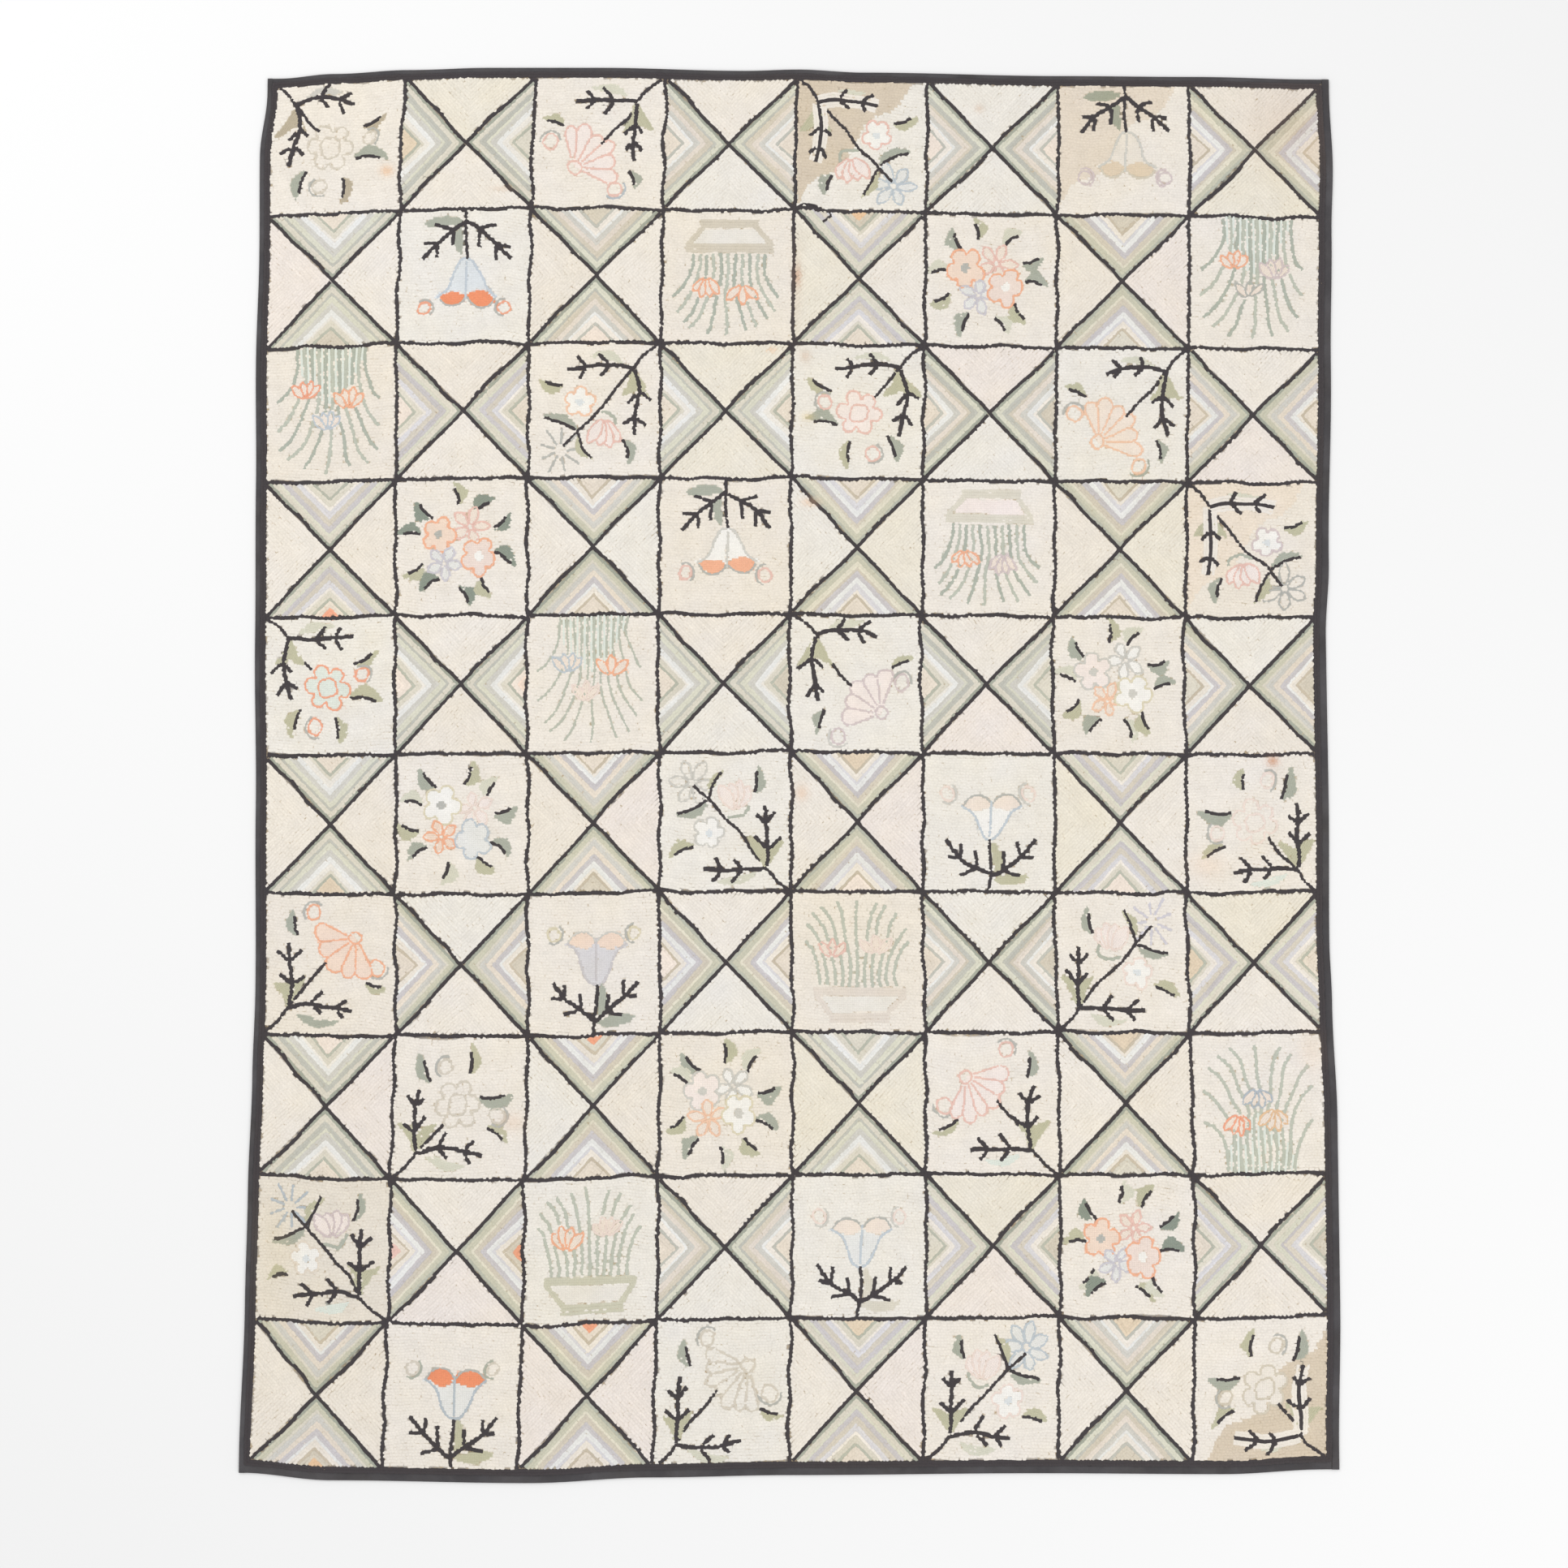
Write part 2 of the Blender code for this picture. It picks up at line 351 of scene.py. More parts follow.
# Round petals side by side that open like a fan from a small calyx
def fanFlower(place, centre, angle, radius, line, inside="", count=6, spread=130):
    centre = np.asarray(centre, float)
    edges = np.radians(angle + spread * (np.arange(count + 1) / count - 0.5))
    stroke(place, scallops(centre, radius * 0.15, 4, 0.08), line, closed=True)
    rim = []
    for number, (first, last) in enumerate(zip(edges, edges[1:])):
        share = np.linspace(0, 1, 7)
        turns = first + (last - first) * share
        reach = radius * (1 - 0.07 * (number % 2)) * (0.84 + 0.16 * np.sin(math.pi * share) ** 0.6)
        rim.append(np.column_stack((np.cos(turns), np.sin(turns))) * reach[:, None] + centre)
        stroke(place, rim[-1], line, bends=False)
    for edge in edges:
        way = np.array([math.cos(edge), math.sin(edge)])
        stroke(place, (centre + way * radius * 0.2, centre + way * radius * 0.8), line, bends=False)
    if inside:
        fillShape(place, np.vstack(rim + [centre[None]]), inside, bends=False)


# A flower seen from above: a scalloped edge, with a dot or a ring inside
def blossom(place, centre, radius, line, inside="", eye="", count=5, ring=False, depth=0.34):
    turn = random.uniform(0, 1.2)
    if eye:
        fillShape(place, scallops(centre, radius * 0.22, 4, 0.1), eye)
    if ring:
        stroke(place, scallops(centre, radius * 0.46, 4, 0.12, 0.6), line, 0.7, closed=True)
    stroke(place, scallops(centre, radius, count, depth, turn), line, closed=True)
    if inside:
        fillShape(place, scallops(centre, radius * 0.94, count, depth, turn), inside)


# Separate pointed petals from one middle, all the way round or over part of it
def petals(place, centre, radius, line, inside="", count=6, turn=0.0, spread=360.0, wide=0.42, fat=0.7):
    step = spread / count if spread == 360 else spread / (count - 1)
    first = turn if spread == 360 else turn - spread / 2
    for number in range(count):
        angle = math.radians(first + number * step)
        tip, half = 1 - 0.07 * (number % 2), wide / 2
        points = turned(((0.14, 0), (0.35, 0.7 * half), (0.66, half), (0.9 * tip, 0.5 * half), (tip, 0),
                         (0.9 * tip, -0.5 * half), (0.66, -half), (0.35, -0.7 * half)), angle, radius, centre)
        stroke(place, points, line, fat, closed=True)
        if inside:
            fillShape(place, points, inside, angle, fine=0.66)


def rays(place, centre, radius, yarn, count=8, turn=0.0):
    for number in range(count):
        angle = math.radians(turn) + number * math.tau / count
        way = np.array([math.cos(angle), math.sin(angle)])
        reach = radius * (1 if number % 2 else 0.85)
        stroke(place, (np.asarray(centre) + way * radius * 0.25, np.asarray(centre) + way * reach), yarn,
               0.92, bends=False)


# A small ring with a bracket of another yarn at one side
def bud(place, centre, radius, line, bracket="greyLine", angle=0.0, inside=""):
    ring = turned(((0.9, -0.5), (0.8, 0.7), (-0.3, 1.0), (-0.95, 0.3), (-0.7, -0.8), (0.3, -1.0)),
                  math.radians(angle), radius, centre)
    around = ((1.2, 0.9), (0.3, 1.45), (-0.9, 1.15), (-1.45, 0.1), (-1.25, -0.9))
    stroke(place, turned(around, math.radians(angle), radius, centre), bracket, 0.78)
    stroke(place, ring, line, 0.7, closed=True)
    if inside:
        fillShape(place, ring, inside)


# Motifs. Each is drawn as if it stood on the bottom of the tile or in its left corner,
# and each has two to five yarns of its own: line, fill and accents.

# A stem from the corner that forks into two twigs and ends in a flower
def branchMotif(place, look):
    olive, grey = look.get("leaves", ("leafOlive", "leafGrey"))
    fork = nudged((0.19, 0.17), 0.025)
    stroke(place, ((0, 0), fork * 0.5 + (0.012, -0.012), fork), "black", 1.2)
    for way, beside in (((1, 0), (0, 1)), ((0, 1), (1, 0))):
        way, beside = np.array(way), np.array(beside)
        reach, lift = random.uniform(0.44, 0.51), random.uniform(-0.045, 0.045)
        path = [fork + way * reach * share + beside * lift * up
                for share, up in ((0, 0), (0.35, 1), (0.7, 0.6), (1, -0.4))]
        sprig(place, path, look.get("halo", ""))
    leaf(place, fork, fork + nudged((-0.10, 0.16)), olive, 0.075, -1, dark=0)
    leaf(place, fork + (0.02, 0.03), fork + nudged((0.09, 0.17)), olive, 0.06, 1, dark=0)
    under = look.get("under", "paleLeaf")
    leaf(place, fork + (0.08, -0.03), fork + nudged((0.29, -0.07)), under, 0.05, -1, dark=0)
    branchFlowers[look["kind"]](place, look, fork, olive, grey)


def ringFlowers(place, look, fork, olive, grey):
    line, fill = look["yarns"]
    stroke(place, nudged((fork, (0.27, 0.28), (0.37, 0.39)), 0.01), "black", 1.12)
    blossom(place, nudged((0.48, 0.51)), 0.17, line, fill, count=6, ring=True)
    bud(place, nudged((0.38, 0.80)), 0.052, line, "greyLine", 30)
    bud(place, nudged((0.76, 0.43)), 0.050, line, "greyLine", 200)
    leaf(place, nudged((0.66, 0.58)), nudged((0.84, 0.59)), grey, 0.075, -1)
    leaf(place, nudged((0.28, 0.67)), nudged((0.23, 0.83)), grey, 0.065, 1)
    leaf(place, nudged((0.56, 0.73)), nudged((0.57, 0.88)), olive, 0.065, -1)
    leaf(place, nudged((0.70, 0.35)), nudged((0.83, 0.27)), olive, 0.055, 1)


def fanFlowers(place, look, fork, olive, grey):
    line, fill = look["yarns"]
    stroke(place, nudged((fork, (0.26, 0.29), (0.38, 0.42), (0.47, 0.51)), 0.01), "black", 1.12)
    centre = nudged((0.69, 0.69))
    angle, radius = 225 + random.uniform(-8, 8), random.uniform(0.29, 0.34)
    fanFlower(place, centre, angle, radius, line, fill, count=int(random.integers(5, 8)),
              spread=random.uniform(125, 150))
    bud(place, nudged((0.86, 0.49)), 0.054, line, "greyLine", 150)
    bud(place, nudged((0.38, 0.87)), 0.054, line, look.get("bracket", "greyLine"), 0)
    leaf(place, nudged((0.77, 0.38)), nudged((0.90, 0.33)), olive, 0.05, -1)
    leaf(place, nudged((0.26, 0.70)), nudged((0.22, 0.83)), grey, 0.055, 1)


def daisyFlowers(place, look, fork, olive, grey):
    line, fill, tulip, small = look["yarns"]
    knot = nudged((0.63, 0.66), 0.012)
    stroke(place, (fork, *nudged(((0.33, 0.35), (0.47, 0.50))), knot, (0.74, 0.76)), "black", 1.12)
    stroke(place, (knot, nudged((0.57, 0.77)), nudged((0.53, 0.87))), "black", 1.08)
    leaf(place, knot + (-0.01, 0.03), nudged((0.51, 0.87)), olive, 0.05, -1, 1.0, dark=0)
    leaf(place, knot + (0.01, -0.01), nudged((0.86, 0.56)), grey, 0.06, -1, 1.06)
    if look.get("rays"):
        rays(place, nudged((0.75, 0.79)), 0.18, line, 9, random.uniform(0, 30))
    else:
        petals(place, nudged((0.75, 0.79)), 0.18, line, fill, int(random.integers(6, 8)),
               random.uniform(0, 40))
    petals(place, nudged((0.42, 0.56)), 0.22, tulip, "pinkWhite", 4, 88, 66)
    stroke(place, nudged(((0.33, 0.62), (0.34, 0.56), (0.40, 0.53), (0.49, 0.54))), "leafGrey", 1.15)
    blossom(place, nudged((0.62, 0.43)), 0.115, small, "white", "iceBlue")
    leaf(place, nudged((0.74, 0.33)), nudged((0.88, 0.28)), olive, 0.065, 1)
    leaf(place, nudged((0.28, 0.71)), nudged((0.25, 0.85)), grey, 0.055, 1)


branchFlowers = {"ring": ringFlowers, "fan": fanFlowers, "daisy": daisyFlowers}


# A hanging bell between two forked antlers: shoots by the antler's point that they leave,
# and leaves with the slant of their rows
bellShapes = {
    "outline": ((-0.22, 1), (-0.14, 0.76), (-0.10, 0.40), (-0.05, 0.07), (0, 0), (0.05, 0.07), (0.11, 0.42),
                (0.15, 0.76), (0.23, 1)),
    "lobe": ((-1, 0), (-0.6, 0.05), (0, 0.072), (0.6, 0.058), (1, 0.01), (0.1, -0.04)),
    "antler": ((0.0, 0.10), (0.10, 0.16), (0.22, 0.25), (0.33, 0.37)),
    "shoots": ((1, (0.13, -0.03)), (1, (0.01, 0.13)), (2, (0.10, 0.01)), (2, (0.0, 0.11))),
    "leaves": ((((0.03, 0.09), (0.09, 0.055), (0.21, 0.06), (0.30, 0.10), (0.26, 0.13), (0.13, 0.12)), 0.0),
               (((0.03, 0.14), (0.08, 0.16), (0.09, 0.24), (0.06, 0.33), (0.03, 0.33)), 1.5)),
}


def bellMotif(place, look):
    low, high = random.uniform(0.35, 0.38), random.uniform(0.62, 0.66)
    line, fill, mouth = look["yarns"]
    stroke(place, ((0.505, 0.0), (0.505, 0.1), (0.515, low)), "black", 1.2)
    for side in (-1, 1):
        path = nudged(bellShapes["antler"], 0.012) * (side, 1) + (0.51, 0.0)
        stroke(place, path, "black", 1.45)
        for at, shoot in bellShapes["shoots"]:
            stroke(place, (path[at], path[at] + nudged(shoot, 0.01) * (side, 1)), "black", 1.35)
    side, leafYarn = look.get("leafSide", 1), look.get("leaf", "leafGrey")
    for points, slant in bellShapes["leaves"]:
        fillShape(place, np.array(points) * (side, 1) + (0.505, 0), leafYarn, slant)
    outline = np.array(bellShapes["outline"]) * (1, high - low) + (0.515, low)
    stroke(place, outline, line, 0.92)
    stroke(place, ((0.515, low + 0.02), (0.515, high + 0.03)), line, 0.92, bends=False)
    for middle, half in ((0.41, 0.105), (0.625, 0.11)):
        lobe = np.array(bellShapes["lobe"]) * (half, 1) + (middle, high)
        stroke(place, lobe[:5], look.get("edge", "greyLine"), 0.8)
        fillShape(place, lobe, mouth)
    fillShape(place, outline, fill)
    for middle, angle in ((0.20, 200), (0.80, 60)):
        bud(place, nudged((middle, high + 0.075), 0.01), 0.046, *look["buds"], angle)


# Four flowers close together with dark-edged leaves all round
def clusterMotif(place, look):
    middle, turn = nudged((0.47, 0.49), 0.012), random.uniform(-12, 12)
    for number, (line, fill, eye) in enumerate(look["yarns"]):
        angle = math.radians(turn + 35 + 90 * number)
        centre = nudged(middle + np.array((math.cos(angle), math.sin(angle))) * (0.17, 0.155), 0.02)
        radius = random.uniform(0.125, 0.15)
        if number % 2:
            petals(place, centre, radius, line, fill, 5, random.uniform(0, 70), wide=0.5)
        else:
            blossom(place, centre, radius, line, fill, eye)
    leafYarns = look.get("leaves", ("leafGrey", "leafOlive", "paleLeaf"))
    for number in range(10):
        angle = math.radians(turn + 18 + 36 * number + random.uniform(-7, 7))
        way = np.array((math.cos(angle), math.sin(angle)))
        start = middle + way * random.uniform(0.275, 0.30)
        lean = angle + math.radians(random.uniform(-28, 28))
        end = start + 0.135 * np.array((math.cos(lean), math.sin(lean)))
        leaf(place, start, end, leafYarns[number % len(leafYarns)], 0.072, 1 if number % 2 else -1)


# Bends a circle out towards a square, so that the reeds reach into the corners
def bowed(part):
    return np.sign(part) * abs(part) ** 0.75


# Reeds that rise side by side and then fan out round three flowers
def reedMotif(place, look, foot=0.0, feet=(0.26, 0.77), count=11):
    fat, line = look.get("fat", 1.18), look.get("line", "reed")
    for (across, up), yarn in zip(((0.33, 0.42), (0.63, 0.46), (0.47, 0.62)), look["yarns"]):
        petals(place, nudged((across, up + foot * 0.3), 0.02), random.uniform(0.15, 0.18), yarn,
               "peachPale", int(random.integers(3, 5)), 90 if foot else -90, 84, wide=0.36)
    for number in range(count):
        share = number / (count - 1)
        across = feet[0] + (feet[1] - feet[0]) * share
        angle = math.pi * ((0.93 - 0.86 * share) if foot else (1.07 - 1.14 * share))
        end = nudged((0.48 + 0.40 * bowed(math.cos(angle)), 0.52 + 0.41 * bowed(math.sin(angle))), 0.022)
        straight = foot + (0.15 + 0.30 * math.sin(math.pi * share)) * (0.4 if foot else 1)
        stroke(place, ((across, foot + 0.004), (across, straight),
                       (across * 0.80 + end[0] * 0.20, straight * 0.62 + end[1] * 0.38),
                       (across * 0.42 + end[0] * 0.58, straight * 0.22 + end[1] * 0.78), end),
               (line, "reedLight")[number % 2], fat)
        if not foot and number:
            beside = across - 0.5 * (feet[1] - feet[0]) / (count - 1)
            stroke(place, ((beside, 0.01), (beside, straight - 0.03)), "mint", 0.8, bends=False)


# A banded planter with reeds in it
def planterMotif(place, look):
    band, fat, low, high = look["band"], 1.0, 0.125, 0.285
    rim, base = nudged((0.17, 0.84), 0.012), nudged((0.30, 0.73), 0.012)
    for level in (high + 0.02, high, high - 0.02):
        stroke(place, ((rim[0], level), (rim[1], level)), band, fat, bends=False)
    for level in (low, low - 0.02, low - 0.045):
        stroke(place, ((base[0] - 0.01, level), (base[1] + 0.01, level)), band, fat, bends=False)
    for side, lean in ((0, 1), (1, -1)):
        for step in (0.0, 0.022):
            upper, lower = (rim[side] + lean * (step + 0.01), high - 0.03), (base[side] + lean * step, low)
            stroke(place, (upper, lower), band, fat, bends=False)
    panel = ((rim[0] + 0.06, 0.25), (rim[1] - 0.06, 0.25), (base[1] - 0.02, 0.145), (base[0] + 0.02, 0.145))
    fillShape(place, panel, look.get("panel", "creamCool"), bends=False)
    reedMotif(place, look, 0.325, (rim[0] + 0.05, rim[1] - 0.07))


motifMakers = {"branch": branchMotif, "bell": bellMotif, "cluster": clusterMotif, "reeds": reedMotif,
               "planter": planterMotif}

# Flowers of a cluster: line, fill and eye of each
paleBunch = (("straw", "white", "greyPale"), ("peachLine", "peachPale", ""),
             ("greyPale", "pinkWhite", "greyPale"), ("greyPale", "white", "straw"))
brightBunch = (("orangeLine", "pinkPale", "white"), ("lilacLine", "ice", ""),
               ("orangeLine", "peach", "greyLine"), ("pinkLine", "peachPale", "greyLine"))
mixedBunch = (("blueLine", "ice", ""), ("orangeLine", "peach", ""), ("straw", "white", "greyLine"),
              ("pinkPale", "pinkWhite", "greyLine"))
# Flower tiles: row, column, motif, flips (v hangs from the top, h grows from the right), look
flowerTiles = (
    (1, 1, "branch", "v", {"kind": "ring", "yarns": ("greige", ""), "leaves": ("leafTan", "leafGrey"),
                           "under": "greyPale"}),
    (1, 3, "branch", "hv", {"kind": "fan", "yarns": ("pinkLine", "pinkWhite"), "bracket": "greyBlue"}),
    (1, 5, "branch", "v", {"kind": "daisy", "yarns": ("blueLine", "ice", "pinkLine", "pinkLine"),
                           "wedge": "tanDeep", "halo": "cream"}),
    (1, 7, "bell", "v", {"yarns": ("greyPale", "creamWarm", "tanWarm"), "leaf": "moss", "leafSide": -1,
                         "edge": "tan", "buds": ("mauve", "mauve"), "wedge": "tanPale"}),
    (2, 2, "bell", "v", {"yarns": ("blueLine", "iceBlue", "orange"), "leafSide": -1,
                         "buds": ("salmon", "greyLine")}),
    (2, 4, "planter", "v", {"band": "tan", "yarns": ("orangeLine", "orangeLine")}),
    (2, 6, "cluster", "v", {"yarns": brightBunch}),
    (2, 8, "reeds", "v", {"yarns": ("orangeLine", "mauve", "greyLine")}),
    (3, 1, "reeds", "v", {"yarns": ("salmon", "orangeLine", "blueLine")}),
    (3, 3, "branch", "hv", {"kind": "daisy", "yarns": ("greyLine", "", "pinkLine", "peachLine"),
                            "rays": True}),
    (3, 5, "branch", "hv", {"kind": "ring", "yarns": ("pinkLine", "pinkWhite")}),
    (3, 7, "branch", "hv", {"kind": "fan", "yarns": ("peachLine", "peachPale"), "bracket": "leafGrey"}),
    (4, 2, "cluster", "v", {"yarns": brightBunch, "leaves": ("leafDark", "leafOlive", "leafDark")}),
    (4, 4, "bell", "v", {"yarns": ("greyPale", "white", "orangeLine"), "leafSide": -1,
                         "buds": ("pinkLine", "greyLine")}),
    (4, 6, "planter", "v", {"band": "stone", "panel": "pinkWhite", "yarns": ("orangeLine", "mauve"),
                            "fat": 1.1}),
    (4, 8, "branch", "v", {"kind": "daisy", "yarns": ("greyLine", "", "pinkLine", "mauve"),
                           "ground": "creamWarm", "wedge": "peachGround", "halo": "cream"}),
    (5, 1, "branch", "v", {"kind": "ring", "yarns": ("salmon", "mint"),
                           "leaves": ("leafOlive", "leafOlive")}),
    (5, 3, "reeds", "v", {"yarns": ("blueLine", "orangeLine", "pinkPale"), "line": "reedLight", "fat": 0.85}),
    (5, 5, "branch", "v", {"kind": "fan", "yarns": ("mauve", "pinkWhite"), "bracket": "greyPale"}),
    (5, 7, "cluster", "v", {"yarns": paleBunch}),
    (6, 2, "cluster", "v", {"yarns": mixedBunch}),
    (6, 4, "branch", "h", {"kind": "daisy", "yarns": ("greyPale", "", "pinkPale", "greyPale")}),
    (6, 6, "bell", "", {"yarns": ("blueLine", "white", "peachPale"), "leaf": "leafOlive",
                        "buds": ("pinkPale", "greyPale")}),
    (6, 8, "branch", "h", {"kind": "ring", "yarns": ("pinkPale", ""), "under": "mint"}),
    (7, 1, "branch", "", {"kind": "fan", "yarns": ("orangeLine", "peach"), "under": "leafGrey"}),
    (7, 3, "bell", "", {"yarns": ("mauveGrey", "lilac", "peach"), "edge": "greyPale",
                        "buds": ("straw", "greyLine")}),
    (7, 5, "planter", "", {"band": "pinkStone", "yarns": ("pinkLine", "pinkPale"), "line": "reedLight"}),
    (7, 7, "branch", "", {"kind": "daisy", "yarns": ("lilacLine", "", "pinkPale", "pinkPale"), "rays": True}),
    (8, 2, "branch", "", {"kind": "ring", "yarns": ("greige", ""), "under": "paleLeaf"}),
    (8, 4, "cluster", "v", {"yarns": paleBunch}),
    (8, 6, "branch", "h", {"kind": "fan", "yarns": ("pinkLine", "pinkWhite"), "under": "mint"}),
    (8, 8, "reeds", "", {"yarns": ("salmon", "tanOrange", "greyBlue"), "line": "reedLight"}),
    (9, 1, "branch", "h", {"kind": "daisy", "yarns": ("greyBlue", "", "mauve", "beige"), "rays": True,
                           "ground": "creamGrey", "under": "mint"}),
    (9, 3, "planter", "", {"band": "oliveBand", "yarns": ("orangeLine", "pinkPale"), "line": "reedLight"}),
    (9, 5, "bell", "", {"yarns": ("blueLine", "ice", "peachPale"), "leaf": "stone",
                        "buds": ("pinkPale", "greyPale")}),
    (9, 7, "cluster", "v", {"yarns": brightBunch, "leaves": ("leafDark", "paleLeaf", "leafOlive")}),
    (10, 2, "bell", "", {"yarns": ("greyBlue", "ice", "orange"), "leaf": "leafOlive",
                         "buds": ("greige", "leafGrey")}),
    (10, 4, "branch", "", {"kind": "fan", "yarns": ("greige", "")}),
    (10, 6, "branch", "", {"kind": "daisy", "yarns": ("blueLine", "ice", "pinkPale", "pinkPale")}),
    (10, 8, "branch", "h", {"kind": "ring", "yarns": ("tan", "cream"), "wedge": "tanDeep", "halo": "cream"}),
)

# Stripes of the crossed tiles, from the black diagonals inwards: share of the way, yarns. The first yarn of
# each set is painted shade: a darker row along the black diagonal.
stripeEdges = (0.09, 0.19, 0.26, 0.35, 0.44, 0.54, 0.61, 0.70, 0.75)
stripeSets = (
    ("leafDeep", "stone", "greyBand", "paleLeaf", "greyPale", "ice", "creamCool", "stone", "sageLine"),
    ("sageLine", "oliveBand", "mustardPale", "tan", "mauveGrey", "ice", "lilac", "creamWarm", "tanLine"),
    ("leafDeep", "paleLeaf", "greyBand", "tan", "pinkStone", "greyPale", "ice", "cream", "greyBand"),
    ("leafDeep", "stone", "paleLeaf", "mauveGrey", "greige", "lilac", "cream", "stone", "sageLine"),
    ("leafDeep", "oliveBand", "stone", "greyPale", "beige", "mauveGrey", "ice", "creamWarm", "tanLine"),
)
commonHearts = ("beige", "tan", "stone", "peachPale", "tanWarm", "beige")
plainGrounds = ("cream", "cream", "creamWarm", "creamCool", "creamStraw", "creamRose")
strongHearts = {(2, 5, "t"): "tanOrange", (4, 1, "b"): "salmon", (5, 2, "r"): "peach",
                (8, 3, "t"): "orangeSoft", (9, 2, "l"): "pinkLine", (9, 2, "r"): "orangeSoft",
                (10, 3, "t"): "orangeSoft", (10, 1, "b"): "tanOrange"}


# A crossed tile. Its rows start a little off the diagonals. Striped ones lie closer than
# plain ones, and the heart is the last stripe.
crossShape = {"first": 0.0070, "last": 0.0020, "closer": 0.86, "heart": 0.84, "stray": 0.012,
              "ripple": 0.012, "rippleMm": 2.1}
tileSides = {"l": (-1, 0), "r": (1, 0), "b": (0, -1), "t": (0, 1)}
# Rows of ground: how loosely one loop follows another, and how far the tone of a row strays
groundRows = {"loose": 0.12, "tones": (0.985, 1.015)}


def crossTile(row, column):
    striped, plain = ("lr", "tb") if row % 2 else ("tb", "lr")
    place = tilePlace(row, column)
    half = (tileGrid["wide"] + tileGrid["high"]) / 4
    yarns = stripeSets[random.integers(len(stripeSets))]
    stray = random.uniform(-crossShape["stray"], crossShape["stray"], len(stripeEdges))
    edges = np.array(stripeEdges) + stray
    for side in striped + plain:
        way = np.array(tileSides[side], float)
        across = np.array([-way[1], way[0]])
        common = commonHearts[random.integers(len(commonHearts))]
        heart = strongHearts.get((row, column, side), common)
        ground = yarnColour[plainGrounds[random.integers(len(plainGrounds))]]
        away = crossShape["first"]
        while away < half / math.sqrt(2) - crossShape["last"]:
            share = away * math.sqrt(2) / half
            if side in striped:
                inner = heart if share > crossShape["heart"] else common
                # the first yarn of a set, next to the black diagonal, is painted shade
                yarn = (*yarns, inner)[sum(share > edge for edge in edges)]
                colour = yarnColour[yarn] * random.uniform(0.96, 1.03)
            else:
                colour = ground * (1 + crossShape["ripple"] * math.sin(away * 1000 / crossShape["rippleMm"]))
            arm = np.array((way + across * (1 - share), way * share, way - across * (1 - share)))
            x, y, turn = alongPath(*place(arm / 2 + 0.5), loopPitch, groundRows["loose"])
            x, y = jittered(x, y, rugSettings["handJitter"])
            hookLoops(x, y, turn, colour * random.uniform(*groundRows["tones"]))
            away += rowPitch * (crossShape["closer"] if side in striped else 1)


# Level rows of plain ground. A wedge is the discoloured half of a tile on the motif's side.
levelShape = {"bow": 0.02, "points": 13, "wedge": 0.94, "wedgeWave": 0.06, "wedgeWaves": 14}
levelGrounds = plainGrounds[:4]


def levelGround(row, column, flip, look):
    place = tilePlace(row, column)
    bow = random.uniform(-levelShape["bow"], levelShape["bow"], 2)
    count = round(tileGrid["high"] / rowPitch)
    across = np.linspace(0, 1, levelShape["points"])
    yarn = look.get("ground", levelGrounds[random.integers(len(levelGrounds))])
    (startX, endX), (startY, endY) = tilePlace(row, column, flip)(((0, 0), (1, 1)))
    for number in range(count):
        up = (number + 0.5) / count + bow[0] * np.sin(across * math.pi) + bow[1] * np.sin(across * math.tau)
        x, y, turn = alongPath(*place(np.column_stack((across, up))), loopPitch, groundRows["loose"])
        colour = np.tile(yarnColour[yarn], (len(x), 1))
        if "wedge" in look:
            right, above = (x - startX) / (endX - startX), (y - startY) / (endY - startY)
            edge = right + above + levelShape["wedgeWave"] * np.sin(levelShape["wedgeWaves"] * right)
            colour[edge < levelShape["wedge"]] = yarnColour[look["wedge"]]
        x, y = jittered(x, y, rugSettings["handJitter"])
        hookLoops(x, y, turn, colour * random.uniform(*groundRows["tones"]))


# Black rows along the edges of the tiles and across them, fatter than any other
blackRows = {"pitch": 0.78, "jitter": 0.0004, "raised": 0.0003, "fat": 1.32, "diagonalFat": 1.25,
             "uneven": (0.86, 1.14)}


def blackLine(column, row, fat=blackRows["fat"]):
    x, y, turn = alongPath(*unsteady(*onRug(column, row)), loopPitch * blackRows["pitch"])
    x, y = jittered(x, y, blackRows["jitter"])
    fats = fat * random.uniform(*blackRows["uneven"], len(x))
    claims = rugSettings["strokeClaim"] + (fat - 1) * rowPitch / 2
    hookLoops(x, y, turn, yarnColour["black"], fats, blackRows["raised"], claims)


# Black rows that follow the tape, as far in as the outermost drawn lines
borderRows = {"count": 2, "first": 0.0030, "pitch": 0.8, "fat": 1.05, "claim": 0.003, "wide": 0.0142}
sides = ("left", "right", "bottom", "top")
sidePoints = (50, 60)


def blackBorder():
    for number in range(borderRows["count"]):
        away = borderRows["first"] + number * rowPitch
        low = [edge + away for edge in pileLow]
        high = [edge - away for edge in pileHigh]
        for side in sides:
            axis = 1 if side in ("left", "right") else 0
            along = np.linspace(low[axis], high[axis], sidePoints[axis])
            across = np.full(len(along), (low if side in ("left", "bottom") else high)[1 - axis])
            straight = (across, along) if axis else (along, across)
            x, y, turn = alongPath(*lieUnevenly(*straight), loopPitch * borderRows["pitch"])
            x, y = jittered(x, y, blackRows["jitter"])
            hookLoops(x, y, turn, yarnColour["black"], borderRows["fat"], 0.0, borderRows["claim"])


